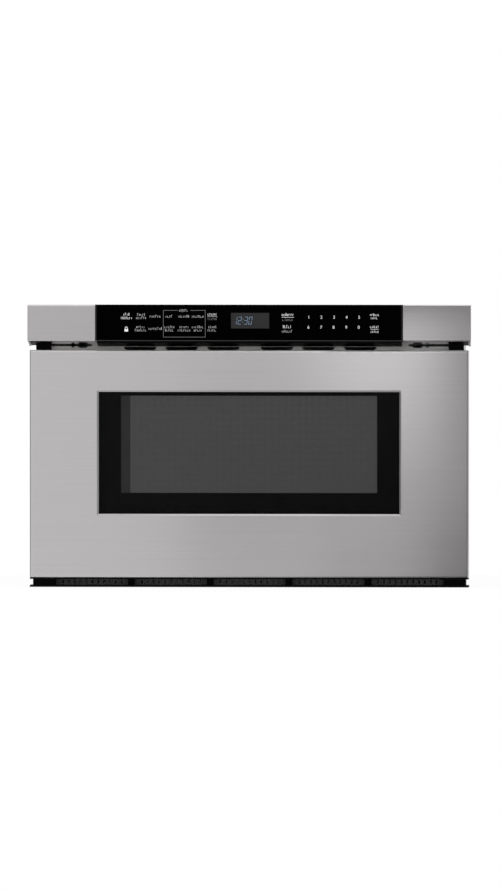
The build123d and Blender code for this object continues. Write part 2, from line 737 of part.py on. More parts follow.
def choke_ring(inset):
    """Ring face of the choke on the door's back, INSET inside its edges."""
    x = CHOKE_X - CHOKE_W + inset
    z0 = CAV_Z0 - CHOKE_W / 2 - 5 + CHOKE_W - inset
    z1 = CAV_Z1 + CHOKE_W / 2 + 5 - CHOKE_W + inset
    return ring(-x, x, z0, z1, CHOKE_W - 2 * inset)


def door_pan():
    """Inner door: dish with a viewing tunnel and a choke channel pressed into its back."""
    wall = SHEET
    y0 = Y_FACE + SHEET
    pan = block(-PAN_X, PAN_X, y0, Y_PAN, PAN_Z0, PAN_Z1)
    pan -= block(wall - PAN_X, PAN_X - wall, y0, Y_PAN - wall, PAN_Z0 + wall, PAN_Z1 - wall)
    tunnel = Y_SCREEN + SCREEN_T
    pan += block(-VIEW_X - wall, VIEW_X + wall, tunnel, Y_PAN, VIEW_Z0 - wall, VIEW_Z1 + wall)
    pan -= block(-VIEW_X, VIEW_X, tunnel, Y_PAN - wall, VIEW_Z0, VIEW_Z1)
    seat = 7.0
    pan -= block(seat - VIEW_X, VIEW_X - seat, Y_PAN - wall, Y_PAN, VIEW_Z0 + seat, VIEW_Z1 - seat)
    pan += along_y(choke_ring(0.5), Y_PAN - wall - CHOKE_DEEP, Y_PAN - wall)
    return pan - along_y(choke_ring(0.5 + wall), Y_PAN - CHOKE_DEEP, Y_PAN)


def choke_cover():
    """Plastic ring over the choke channel, with a rib that plugs into it."""
    cover = along_y(choke_ring(0), Y_PAN, Y_PAN + 1.5)
    return cover + along_y(choke_ring(6.0), Y_PAN - 5, Y_PAN)


def inner_glass():
    gap = CLEAR
    y1 = Y_PAN - SHEET
    return block(gap - VIEW_X, VIEW_X - gap, y1 - INNER_GLASS_T, y1, VIEW_Z0 + gap, VIEW_Z1 - gap)


def door_hook():
    """Right hook that works the interlock switches."""
    x, z = hook_place()
    half = HOOK_T / 2
    hook = along_x(Pos(Y_PAN, z) * polygon(*HOOK_SHAPE), x - half, x + half)
    return hook + block(x - half, x + 12, Y_PAN, Y_PAN + HOOK_FOOT_T, z - HOOK_HALF, z + HOOK_HALF)


def interlock_switches():
    """Right switch holder with two switches whose buttons meet the hook's tip."""
    x, z = hook_place()
    tip = Y_PAN + HOOK_L + CLEAR
    front = tip + SWITCH_BUTTON
    back = front + SWITCH_L
    wide = SWITCH_W + 3
    pieces = [block(x - wide, x + wide, back, back + SWITCH_PLATE_T, CAV_Z1 + SHEET, z + 14)]
    for side in (-1, 1):
        x0 = x + side
        body = block(x0, x0 + side * SWITCH_W, front, back, z - 10, z + 8)
        pieces.append(body + block(x0, x0 + side * 2, tip, front, z - 6, z - 3))
    return group(pieces)


# Slides: sections for the right side, across the width from the side panel inwards


def c_section(web, lips, half, thick):
    """Three-sided rail section. WEB and LIPS are distances from the side panel, HALF its half height."""
    x0 = INSIDE_X - web
    x1 = INSIDE_X - lips
    low = SLIDE_Z - half
    high = SLIDE_Z + half
    if lips > web:
        return strip(thick, (x1, low), (x0, low), (x0, high), (x1, high))
    return strip(thick, (x1, high), (x0, high), (x0, low), (x1, low))


def outer_rail():
    y0 = Y_BODY + CLEAR
    rail = along_y(c_section(0, RAIL_LIP, SLIDE_H / 2, RAIL_T), y0, y0 + SLIDE_L)
    return rail - [along_x(hole, INSIDE_X - RAIL_T, INSIDE_X) for hole in rail_holes()]


def mid_rail():
    """Middle rail with its four ball cages."""
    y0 = Y_BODY + CLEAR + 2
    length = SLIDE_L - 2
    rail = along_y(c_section(4, RAIL_LIP + 1, MID_HALF, RAIL_T), y0, y0 + length)
    pieces = [rail]
    deep = BALL_GAP - CLEAR
    for side in (-1, 1):
        outer = SLIDE_Z + side * MID_HALF
        inner = SLIDE_Z + side * (MID_HALF - RAIL_T)
        spans = ((6, 9, outer, outer + side * deep), (7.6, 10.4, inner, inner - side * deep))
        for u0, u1, z0, z1 in spans:
            cage = block(INSIDE_X - u1, INSIDE_X - u0, y0 + 10, y0 + length - 10, min(z0, z1), max(z0, z1))
            pieces.append(cage)
    return group(pieces)


def inner_rail():
    return along_y(c_section(SLIDE_T, SLIDE_T - 6, INNER_HALF, RAIL_T), Y_PAN + 1.6, Y_BODY + SLIDE_L)


def rail_bracket():
    """Angle that joins the inner rail to the back of the door."""
    x1 = INSIDE_X - SLIDE_T + RAIL_T + BRACKET_T
    x0 = x1 - BRACKET_T - RAIL_ANGLE_FOOT
    section = strip(BRACKET_T, (x0, Y_PAN), (x1, Y_PAN), (x1, Y_PAN + RAIL_ANGLE))
    high = INNER_HALF - RAIL_T - 1
    return along_z(section, SLIDE_Z - high, SLIDE_Z + high)


def rack_outline():
    """Side view of the toothed bar: (Y, Z) points, teeth down, spaces in line with the pinion."""
    half = (PITCH / 2 - BACKLASH) / 2
    slope = tan(PRESSURE_ANGLE)
    tip = RACK_Z - MODULE
    root = RACK_Z + 1.25 * MODULE
    y0 = Y_PAN + 14
    first = ceil((y0 + PITCH - SHAFT_Y) / PITCH - 0.5)
    points = [(y0, RACK_Z + 5 * MODULE), (y0, root)]
    count = int(RACK_L / PITCH) - 1
    for n in range(first, first + count):
        y = SHAFT_Y + (n + 0.5) * PITCH
        wide = half + 1.25 * MODULE * slope
        narrow = half - MODULE * slope
        points += [(y - wide, root), (y - narrow, tip), (y + narrow, tip), (y + wide, root)]
    end = y + PITCH
    return points + [(end, root), (end, RACK_Z + 5 * MODULE)]


def drive_rack():
    """Toothed bar with the plate that holds it on the inner rail."""
    outline = rack_outline()
    bar = along_x(polygon(*outline), RACK_X - RACK_T, RACK_X)
    y0 = outline[0][0]
    y1 = outline[-1][0]
    plate = rect(y0, y1, RACK_Z + 5 * MODULE, SLIDE_Z + INNER_HALF)
    middle = Pos((y0 + y1) / 2, (RACK_Z + 5 * MODULE + SLIDE_Z - INNER_HALF) / 2)
    plate -= middle * slots(6, 1, (y1 - y0) / 6, 1, 48, 12)
    return bar + along_x(plate, RACK_X - RACK_PLATE_T, RACK_X)


# Drive


def involute(base, angle):
    """Point of the involute of circle BASE at roll ANGLE, from a start on the U axis."""
    return base * (cos(angle) + angle * sin(angle)), base * (sin(angle) - angle * cos(angle))


def roll_at(radius, base):
    """Roll angle at which the involute of circle BASE reaches RADIUS."""
    return sqrt(max(radius / base, 1.0) ** 2 - 1)


def turned(point, angle):
    u, v = point
    return u * cos(angle) - v * sin(angle), u * sin(angle) + v * cos(angle)


def gear_face(module, teeth, first):
    """Spur gear about the origin. FIRST is the angle of its first tooth's middle."""
    pitch = module * teeth / 2
    base = pitch * cos(PRESSURE_ANGLE)
    outer = pitch + module
    root = pitch - 1.25 * module
    start = roll_at(pitch, base) - acos(base / pitch)  # polar angle of the involute at the pitch circle
    half = (pi / 2 - BACKLASH / (2 * module)) / teeth + start
    last = roll_at(outer, base)
    edges = []
    for n in range(teeth):
        middle = first + 2 * pi * n / teeth
        flank = [involute(base, last * part) for part in (0.0, 0.55, 1.0)]
        rise = [turned(point, middle - half) for point in flank]
        fall = [turned((u, -v), middle + half) for u, v in reversed(flank)]
        foot = turned((root, 0), middle - half)
        foot_end = turned((root, 0), middle + half)
        edges += [Line(foot, rise[0]), ThreePointArc(*rise)]
        crown = turned((outer, 0), middle)
        edges += [ThreePointArc(rise[-1], crown, fall[0]), ThreePointArc(*fall), Line(fall[-1], foot_end)]
        following = turned((root, 0), middle + 2 * pi / teeth - half)
        edges.append(Line(foot_end, following))
    return make_face(edges)


def cross_shaft():
    end = RACK_X - 1
    return disc_x(SHAFT_R, SHAFT_Y, SHAFT_Z, -end, end)


def pinions():
    """Two pinions under the racks, one tooth space centred under a rack tooth."""
    x1 = RACK_X - 1
    face = Pos(SHAFT_Y, SHAFT_Z) * (gear_face(MODULE, PINION_TEETH, pi / 2) - Circle(SHAFT_R))
    right = along_x(face, x1 - RACK_T + 2, x1)
    return group([right, to_left(right)])


def driven_gear():
    face = gear_face(GEAR_MODULE, DRIVEN_TEETH, 0) - Circle(SHAFT_R)
    face -= [spot * Circle(2.5) for spot in PolarLocations(GEAR_MODULE * DRIVEN_TEETH * 0.32, 6)]
    gear = along_x(Pos(SHAFT_Y, SHAFT_Z) * face, GEAR_X - GEAR_T / 2, GEAR_X + GEAR_T / 2)
    hub = Pos(SHAFT_Y, SHAFT_Z) * (Circle(SHAFT_R + 3.5) - Circle(SHAFT_R))
    return gear + along_x(hub, GEAR_X + GEAR_T / 2, GEAR_X + GEAR_T / 2 + 5)


def motor_gear():
    """Small gear on the motor's output shaft."""
    first = pi + pi / MOTOR_TEETH
    y = SHAFT_Y + GEAR_GAP
    half = GEAR_T / 2 + 1
    face = Pos(y, SHAFT_Z) * gear_face(GEAR_MODULE, MOTOR_TEETH, first)
    gear = along_x(face, GEAR_X - half, GEAR_X + half)
    return gear + disc_x(OUTPUT_R, y, SHAFT_Z, GEAR_X - half - OUTPUT_L, GEAR_X - half)


def drawer_motor():
    """Gear motor: gearbox with a bore for the output shaft, and the motor can behind it."""
    y = SHAFT_Y + GEAR_GAP
    x1 = GEARBOX_X
    x0 = x1 - GEARBOX_W
    half = GEARBOX_H / 2
    box = block(x0, x1, y - GEARBOX_AHEAD, y - GEARBOX_AHEAD + GEARBOX_D, SHAFT_Z - half, SHAFT_Z + half)
    box = fillet(box.edges().filter_by(Axis.X), GEARBOX_R)
    can = disc_x(CAN_R, y + CAN_BACK, SHAFT_Z, x0 - CAN_L, x0)
    can += disc_x(CAN_TAIL_R, y + CAN_BACK, SHAFT_Z, x0 - CAN_L - CAN_TAIL, x0 - CAN_L)
    return box + can - disc_x(OUTPUT_R + RUN_FIT, y, SHAFT_Z, x1 - OUTPUT_L - 2, x1)


def motor_bracket():
    """Folded stand under the gearbox, with its thickness above the base pan."""
    front = SHAFT_Y + GEAR_GAP - GEARBOX_AHEAD + 8
    back = front + GEARBOX_D - 20
    top = SHAFT_Z - GEARBOX_H / 2 - BRACKET_T
    section = strip(BRACKET_T, (back + 12, PAN_T), (back, PAN_T), (back, top), (front, top),
                    (front, PAN_T), (front - 12, PAN_T))
    section = Pos(0, PAN_T - section.bounding_box().min.Y) * section
    return along_x(section, GEARBOX_X - GEARBOX_W + 2, GEARBOX_X - 2)


def bearing_bracket():
    """Right stand of the cross shaft: foot, upright and a round boss."""
    x0 = BEARING_X - STAND_T
    y0 = SHAFT_Y - STAND_R
    y1 = SHAFT_Y + STAND_R
    upright = rect(y0, y1, PAN_T, SHAFT_Z) + Pos(SHAFT_Y, SHAFT_Z) * Circle(STAND_R)
    stand = along_x(upright - Pos(SHAFT_Y, SHAFT_Z) * Circle(BUSH_R), x0, BEARING_X)
    return stand + block(x0 - STAND_FOOT, x0, y0, y1, PAN_T, PAN_T + STAND_FOOT_T)


def shaft_bushes():
    bore = Circle(SHAFT_R + RUN_FIT)
    middle = Pos(SHAFT_Y, SHAFT_Z)
    x0 = BEARING_X - STAND_T
    bush = along_x(middle * (Circle(BUSH_R) - bore), x0, BEARING_X)
    bush += along_x(middle * (Circle(BUSH_R + BUSH_LIP) - bore), x0 - BUSH_LIP, x0)
    return group([bush, to_left(bush)])


# Microwave side


def waveguide():
    """Closed rectangular guide under the cavity floor, with holes for the antenna and the magnetron."""
    outer = rect(-GUIDE_W / 2, GUIDE_W / 2, ANTENNA_Y - GUIDE_AHEAD, BAY_Y + GUIDE_BEHIND)
    inner = offset(outer, -GUIDE_T, kind=Kind.INTERSECTION)
    guide = along_z(outer, GUIDE_Z0, GUIDE_Z1) - along_z(inner, GUIDE_Z0 + GUIDE_T, GUIDE_Z1 - GUIDE_T)
    guide -= disc_z(4 * ANTENNA_SHAFT_R, 0, ANTENNA_Y, GUIDE_Z1 - GUIDE_T, GUIDE_Z1)
    guide -= disc_z(ANTENNA_SHAFT_R + 2, 0, ANTENNA_Y, GUIDE_Z0, GUIDE_Z0 + GUIDE_T)
    return guide - disc_z(DOME_HOLE_R, 0, BAY_Y, GUIDE_Z1 - GUIDE_T, GUIDE_Z1)


def antenna():
    """Slotted rotating plate on its drive shaft."""
    z0 = CAV_Z0 + 3
    plate = Circle(ANTENNA_R) - rect(-ANTENNA_R, ANTENNA_R, ANTENNA_R * 0.62, ANTENNA_R)
    plate -= [Rot(0, 0, turn) * Pos(0, -ANTENNA_R * 0.62) * SlotOverall(60, 7) for turn in (-48, 0, 48)]
    plate -= Pos(0, ANTENNA_R * 0.36) * SlotOverall(52, 7)
    shaft = disc_z(ANTENNA_SHAFT_R, 0, 0, GUIDE_Z0 - 8, z0)
    return Pos(0, ANTENNA_Y, 0) * (along_z(plate, z0, z0 + ANTENNA_T) + shaft)


def antenna_motor():
    """Flat geared motor under the guide, with two ears and a bore for the antenna's shaft."""
    y = ANTENNA_Y
    z1 = GUIDE_Z0
    body = disc_z(TURNER_R, 0, y, z1 - TURNER_H, z1)
    ears = along_z(Pos(0, y) * SlotOverall(TURNER_EAR, TURNER_EAR_W), z1 - 1.5, z1)
    lead = block(-8, 8, y - TURNER_R - 5, y - TURNER_R + 5, z1 - TURNER_H + 2, z1 - 4)
    return body + ears + lead - disc_z(ANTENNA_SHAFT_R + RUN_FIT, 0, y, z1 - TURNER_H / 2, z1)


def magnetron():
    """Yoke with cooling fins, filter box on top and the antenna dome into the guide."""
    x = MAGNETRON_W / 2
    y0 = BAY_Y - MAGNETRON_D / 2
    y1 = BAY_Y + MAGNETRON_D / 2
    z0 = GUIDE_Z1
    z1 = z0 + MAGNETRON_H
    outer = rect(-x, x, z0, z1)
    yoke = along_y(outer - offset(outer, -YOKE_T, kind=Kind.INTERSECTION), y0, y1)
    body = yoke + disc_z(ANODE_R, 0, BAY_Y, z0 + 1, z1 - 1)
    for n in range(FINS):
        z = z0 + FIN_IN + n * (MAGNETRON_H - 2 * FIN_IN) / (FINS - 1)
        body += block(1 - x, x - 1, y0 + 3, y1 - 3, z - FIN_T / 2, z + FIN_T / 2)
    side = FILTER_BOX / 2
    body += block(-side, side, BAY_Y - FILTER_BOX_D / 2, BAY_Y + FILTER_BOX_D / 2, z1, z1 + FILTER_BOX_H)
    body += block(side, side + 8, BAY_Y - 10, BAY_Y + 10, z1 + 5, z1 + 20)
    return body + disc_z(DOME_R, 0, BAY_Y, z0 - DOME_L, z0 + 1)


def transformer():
    """Laminated core and its windings, on the base pan at the right of the machine bay."""
    x0 = CORE_X - CORE_W
    x1 = CORE_X
    y0 = BAY_Y - CORE_D / 2
    y1 = BAY_Y + CORE_D / 2
    z0 = PAN_T + CORE_FOOT_T
    z1 = z0 + CORE_H
    core = block(x0, x1, y0, y1, z0, z1) + block(x0 - CORE_FOOT, x1 + CORE_FOOT, y0, y1, PAN_T, z0)
    leg = (CORE_W - 2 * CORE_WINDOW) / 4
    left = x0 + leg
    right = x1 - leg
    low = z0 + leg
    high = z1 - leg
    core -= block(left, left + CORE_WINDOW, y0, y1, low, high)
    core -= block(right - CORE_WINDOW, right, y0, y1, low, high)
    face = fillet(rect(left + 0.5, right - 0.5, y0 - CORE_WINDOW, y1 + CORE_WINDOW).vertices(), 8)
    face -= rect(left + CORE_WINDOW, right - CORE_WINDOW, y0, y1)
    split = (low + high) / 2
    coils = [along_z(face, low + 1, split - 2), along_z(face, split + 2, high - 1)]
    return [core, *coils, along_z(face, split - 2, split + 2)]


def capacitor():
    """Oval high-voltage can with two terminals, and the band that holds it."""
    x = CAP_X
    y = BAY_Y
    z0 = PAN_T
    z1 = z0 + CAP_CAN_H
    oval = SlotOverall(CAP_CAN_W, CAP_CAN_D)
    can = along_z(Pos(x, y) * oval, z0, z1)
    can = chamfer(can.faces().sort_by(Axis.Z)[-1].edges(), 2)
    for side in (-10, 10):
        can += block(x + side - 3, x + side + 3, y - 0.4, y + 0.4, z1, z1 + CAP_TAB)
    band = SlotOverall(CAP_CAN_W + 2 * CAP_BAND, CAP_CAN_D + 2 * CAP_BAND) - oval
    low = z0 + CAP_BAND_LOW
    clamp = along_z(Pos(x, y) * band, low, low + CAP_BAND_H)
    post = x - CAP_CAN_W / 2 - CAP_BAND - CAP_BAND_H + 1.5
    clamp += block(post, x - CAP_CAN_W / 2 - 1, y - 0.8, y + 0.8, z0, low + CAP_BAND_H)
    return can, clamp + block(post, post + 12, y - 10, y + 10, z0, z0 + CAP_BAND)


def diode():
    """High-voltage diode between the capacitor's terminal and the clamp's foot."""
    z = PAN_T + CAP_CAN_H + CAP_TAB / 2
    x1 = CAP_X - 13
    return disc_x(DIODE_R, BAY_Y, z, x1 - DIODE_L, x1) + disc_x(LEAD_R, BAY_Y, z, x1 - DIODE_L - 8, x1)


def fan_shroud():
    """Square plate with the fan's ring, standing on the base pan, and two arms that hold the motor."""
    ring_r = FAN_R + FAN_TIP_GAP
    half = ring_r + SHROUD_EDGE
    inner = half - SHROUD_FOOT
    x1 = FAN_X + FAN_HUB_T
    plate = rect(BAY_Y - half, BAY_Y + half, PAN_T, FAN_Z + half) - Pos(BAY_Y, FAN_Z) * Circle(ring_r)
    plate -= rect(BAY_Y - inner, BAY_Y + inner, PAN_T + SHROUD_FOOT - 2, FAN_Z - half - 2)
    shroud = along_x(plate, x1 - SHROUD_T, x1)
    duct = Circle(ring_r + SHROUD_T) - Circle(ring_r)
    shroud += along_x(Pos(BAY_Y, FAN_Z) * duct, x1 - SHROUD_DEEP, x1)
    x0 = FAN_X - FAN_SHAFT_L
    z0 = FAN_Z - ARM_W / 2
    z1 = FAN_Z + ARM_W / 2
    for side in (-1, 1):
        near = BAY_Y + side * 18
        far = BAY_Y + side * (ring_r + SHROUD_T)
        arm = far - side * SHROUD_T
        shroud += block(x0, FAN_X, arm, far, z0, z1) + block(x0, x0 + SHROUD_T, near, arm, z0, z1)
    return shroud


def fan_motor():
    """Motor with a laminated stack, and a bore for the fan's shaft."""
    x0 = FAN_X - FAN_SHAFT_L + SHROUD_T
    x1 = x0 + FAN_STACK_T
    side = FAN_STACK_W / 2
    low = FAN_Z + FAN_BELL_R + 3
    high = low + FAN_COIL
    stack = block(x0, x1, BAY_Y - side, BAY_Y + side, FAN_Z - FAN_STACK_DOWN, FAN_Z + FAN_STACK_UP)
    stack -= block(x0, x1, BAY_Y - side + 8, BAY_Y + side - 8, low, high)
    coil = block(x0 - 4, x1 + 4, BAY_Y - side / 2, BAY_Y + side / 2, low, high)
    bell = disc_x(FAN_BELL_R, BAY_Y, FAN_Z, x0 - 6, x1 + 6)
    return stack + coil + bell - disc_x(FAN_SHAFT_R + RUN_FIT, BAY_Y, FAN_Z, x0 - 6, x1 + 6)


def fan_blade():
    """Axial fan: hub, twisted blades and the shaft in the motor's bore."""
    half = FAN_HUB_T / 2
    fan = disc_x(FAN_HUB_R, 0, 0, -half, half) + disc_x(FAN_SHAFT_R, 0, 0, -FAN_SHAFT_L, -half)
    root = Pos(0, 0, FAN_HUB_R - 2) * Rot(0, 0, 48) * Rectangle(18, 1.6)
    tip = Pos(0, 0, FAN_R) * Rot(0, 0, 62) * Rectangle(25, 1.2)
    blade = loft([root, tip])
    for n in range(FAN_BLADES):
        fan += Rot(360 * n / FAN_BLADES, 0, 0) * blade
    return Pos(FAN_X, BAY_Y, FAN_Z) * fan


def exhaust_duct():
    """Hood over the ceiling that takes steam from the cavity to the outlets in the front frame."""
    x = VENT_SPAN + 3
    z0 = CAV_Z1 + SHEET
    z1 = BODY_Z - SHEET - DUCT_DOWN
    hood = along_y(strip(SHEET, (x, z0), (x, z1), (-x, z1), (-x, z0)), Y_BODY, CAV_BACK)
    return hood + block(-x, x, CAV_BACK - SHEET, CAV_BACK, z0, z1)


def humidity_sensor():
    """Round sensor on its plate, on the duct's roof."""
    x = SENSOR_X
    y = CAV_BACK - FIELD_FRONT
    z = BODY_Z - SHEET - DUCT_DOWN
    return disc_z(SENSOR_R, x, y, z, z + SENSOR_H) + block(x - 12, x + 12, y - 14, y + 14, z, z + 2)


def thermal_cutouts():
    """Two round cut-outs: one on the magnetron's yoke, one on the cavity ceiling."""
    z = GUIDE_Z1 + MAGNETRON_H
    one = disc_z(CUTOUT_R, MAGNETRON_W / 2 - CUTOUT_R - 1, BAY_Y - 24, z, z + CUTOUT_H)
    ceiling = CAV_Z1 + SHEET
    return [one, disc_z(CUTOUT_R, CAV_X - LAMP_IN, ANTENNA_Y, ceiling, ceiling + CUTOUT_H)]


def filter_board():
    """Line filter on four standoffs above the ceiling, at the left."""
    foot = CAV_Z1 + SHEET
    z0 = foot + STANDOFF_H
    z1 = z0 + BOARD_T
    x0 = FILTER_IN - CAV_X
    x1 = x0 + FILTER_W
    y1 = CAV_BACK - FILTER_BACK
    y0 = y1 - FILTER_L
    board = block(x0, x1, y0, y1, z0, z1)
    for x in (x0 + 2 * STANDOFF_R, x1 - 2 * STANDOFF_R):
        for y in (y0 + 2 * STANDOFF_R, y1 - 2 * STANDOFF_R):
            board += disc_z(STANDOFF_R, x, y, foot, z0)
    middle = (x0 + x1) / 2
    side = CHOKE_COIL_W / 2
    board += block(middle - side, middle + side, y0 + 14, y0 + 14 + CHOKE_COIL_D, z1, z1 + CHOKE_COIL_H)
    board += disc_z(9, middle, y0 + 62, z1, z1 + 0.75 * CHOKE_COIL_H)
    return board + block(middle - side - 2, middle + side + 2, y1 - 22, y1 - 12, z1, z1 + CHOKE_COIL_H / 2)


# Control panel


def panel_opening():
    """Hole in the steel front behind the glass, (x, z0, z1)."""
    return GLASS_X - OPENING_SIDE, PANEL_Z + OPENING_LOW, FRONT_H - OPENING_DOWN


def panel_skin():
    """Stainless front of the control panel: face with folded edges and the opening behind the glass."""
    x = FRONT_W / 2
    z0 = PANEL_Z
    z1 = FRONT_H - STEEL_DROP
    solid = block(-x, x, Y_FACE, Y_PANEL, z0, z1)
    skin = fillet(solid.faces().sort_by(Axis.Y)[0].edges(), PANEL_R)
    skin -= block(SHEET - x, x - SHEET, Y_FACE + SHEET, Y_PANEL, z0 + SHEET, z1 - SHEET)
    ends = rect(Y_FACE + CAP_FROM, Y_PANEL, z0, z1 - SHEET)
    skin -= along_x(ends, -x, SHEET - x)
    skin -= along_x(ends, x - SHEET, x)
    open_x, open_z0, open_z1 = panel_opening()
    skin -= block(-open_x, open_x, Y_FACE, Y_FACE + SHEET, open_z0, open_z1)
    notch = rect(x - SHEET - CAP_T, x - SHEET, Y_FACE + SHEET, Y_PANEL)
    return skin - [along_z(face, z0, z0 + SHEET) for face in (notch, mirror(notch, about=Plane.YZ))]


def panel_cap():
    """Right end cap, with a lower edge that falls towards the back."""
    x1 = FRONT_W / 2 - SHEET
    y0 = Y_FACE + SHEET + CLEAR
    z1 = FRONT_H - STEEL_DROP - SHEET
    low = PANEL_Z - CHIN_DROP
    face = polygon((y0, PANEL_Z + SHEET), (y0 + 1, PANEL_Z - 1), (Y_PANEL, low), (Y_PANEL, z1), (y0, z1))
    return along_x(face, x1 - CAP_T, x1)


def panel_housing():
    """Black tray inside the steel front that carries the boards."""
    x = FRONT_W / 2 - SHEET - CAP_T
    z0 = PANEL_Z + SHEET
    z1 = FRONT_H - STEEL_DROP - SHEET
    y1 = Y_PANEL - HOUSING_T
    wall = HOUSING_T
    tray = block(-x, x, Y_FACE + SHEET, Y_PANEL, z0, z1)
    tray -= block(wall - x, x - wall, Y_FACE + SHEET, y1, z0 + wall, z1 - wall)
    for share in (-0.75, -0.4, 0.4, 0.75):
        tray += disc_y(POST_R, share * x, (z0 + z1) / 2, y1 - POST_L, y1)
    return tray


def control_board():
    """Long board on the housing's posts, with a row of relays."""
    x = (FRONT_W / 2 - SHEET - CAP_T) * BOARD_SHARE
    y1 = Y_PANEL - HOUSING_T - POST_L
    y0 = y1 - BOARD_T
    z0 = PANEL_Z + BOARD_LOW
    board = block(-x, x, y0, y1, z0, FRONT_H - BOARD_DOWN)
    for n in range(RELAYS):
        left = RELAY_W / 2 - x + n * RELAY_PITCH
        board += block(left, left + RELAY_W, y0 - RELAY_T, y0, z0 + 4, z0 + 4 + RELAY_H)
    return board


def touch_film():
    """Sensing film behind the glass, in the steel front's opening, round the display."""
    x, z0, z1 = panel_opening()
    film = rect(CLEAR - x, x - CLEAR, z0 + CLEAR, z1 - CLEAR)
    x0 = DISPLAY_X - DISPLAY_W / 2
    top = FRONT_H - DISPLAY_UP
    film -= rect(x0 - CLEAR, x0 + DISPLAY_W + CLEAR, top - DISPLAY_H - CLEAR, top + CLEAR)
    return along_y(film, Y_FACE, Y_FACE + FILM_T)


def display_module():
    """Readout between the glass and the control board."""
    x0 = DISPLAY_X - DISPLAY_W / 2
    top = FRONT_H - DISPLAY_UP
    y1 = Y_PANEL - HOUSING_T - POST_L - BOARD_T
    return block(x0, x0 + DISPLAY_W, Y_FACE, y1, top - DISPLAY_H, top)


def control_glass():
    """Black glass unit with bevelled ends."""
    x = GLASS_X
    bevel = GLASS_PROUD - 0.4
    outline = polygon((-x, Y_FACE), (x, Y_FACE), (x, Y_FRONT + bevel), (x - bevel, Y_FRONT),
                      (bevel - x, Y_FRONT), (-x, Y_FRONT + bevel))
    return along_z(outline, PANEL_Z, FRONT_H)


def panel_chin():
    """Glossy deflector under the glass: slopes down to the back, with a fold against the front frame."""
    low = PANEL_Z - CHIN_DROP
    section = strip(CHIN_T, (Y_FACE, PANEL_Z - CHIN_T), (Y_PANEL - 8, low), (Y_PANEL, low))
    x = GLASS_X - CHIN_SIDE
    return along_x(section, -x, x) + block(-x, x, Y_PANEL - CHIN_T, Y_PANEL, low + CHIN_T, PANEL_Z)


def panel_bracket():
    """Right block that carries the panel's end on the front frame."""
    x1 = FLANGE_X
    x0 = x1 - CARRIER_W
    carrier = block(x0, x1, Y_FLANGE - CARRIER_D, Y_FLANGE, DOOR_TOP - 1, PANEL_Z)
    high = PANEL_Z - CLEAR
    wedge = polygon((Y_FACE + 4, high), (Y_FLANGE, PANEL_Z - CHIN_DROP + 1), (Y_FLANGE, high))
    arm = along_x(wedge, x0 + CARRIER_ARM, FRONT_W / 2 - SHEET - CAP_T - CLEAR)
    arm += block(x0 + CARRIER_ARM, x1, Y_FACE + 20, Y_FLANGE, PANEL_Z - 1.5, PANEL_Z)
    return carrier + arm - block(-DOOR_X, DOOR_X, Y_FRONT, Y_FLANGE - 2, 0, DOOR_TOP + CLEAR)


# Fasteners


def screw(shank):
    """Pan-head screw along +Z, its head's seat at the origin and its shank below."""
    head = Cylinder(SCREW_R * 2, SCREW_HEAD, align=(Align.CENTER, Align.CENTER, Align.MIN))
    return head + Cylinder(SCREW_R, shank, align=(Align.CENTER, Align.CENTER, Align.MAX))


def back_screw_places():
    x = BODY_X - SCREW_IN
    return [(side * x, z) for side in (-1, 1) for z in (SCREW_LOW, BODY_Z / 2, BODY_Z - SCREW_DOWN)]


def top_screw_places():
    x = BODY_X - SCREW_IN
    middle = (Y_BODY + Y_REAR) / 2
    return [(side * x, y) for side in (-1, 1) for y in (Y_BODY + SCREW_END, middle, Y_REAR - SCREW_END)]


def rail_screw_places():
    return [Y_BODY + RAIL_SCREW_END, Y_BODY + SLIDE_L / 2, Y_BODY + SLIDE_L - RAIL_SCREW_END]


def screw_holes(places):
    return [Pos(*place) * Circle(SCREW_R + CLEAR) for place in places]


def rail_holes():
    """Holes for the rail screws, as a (Y, Z) sketch."""
    return screw_holes([(y, SLIDE_Z) for y in rail_screw_places()])


def screws():
    """Screws of the back panel, the top cover and the outer rails."""
    sheet = screw(3 * SHEET)
    pieces = [Pos(x, Y_REAR, z) * Rot(-90, 0, 0) * sheet for x, z in back_screw_places()]
    pieces += [Pos(x, y, BODY_Z) * sheet for x, y in top_screw_places()]
    for y in rail_screw_places():
        right = Pos(INSIDE_X - RAIL_T, y, SLIDE_Z) * Rot(0, -90, 0) * screw(RAIL_T + 2 * SHEET)
        pieces += [right, to_left(right)]
    return group(pieces)


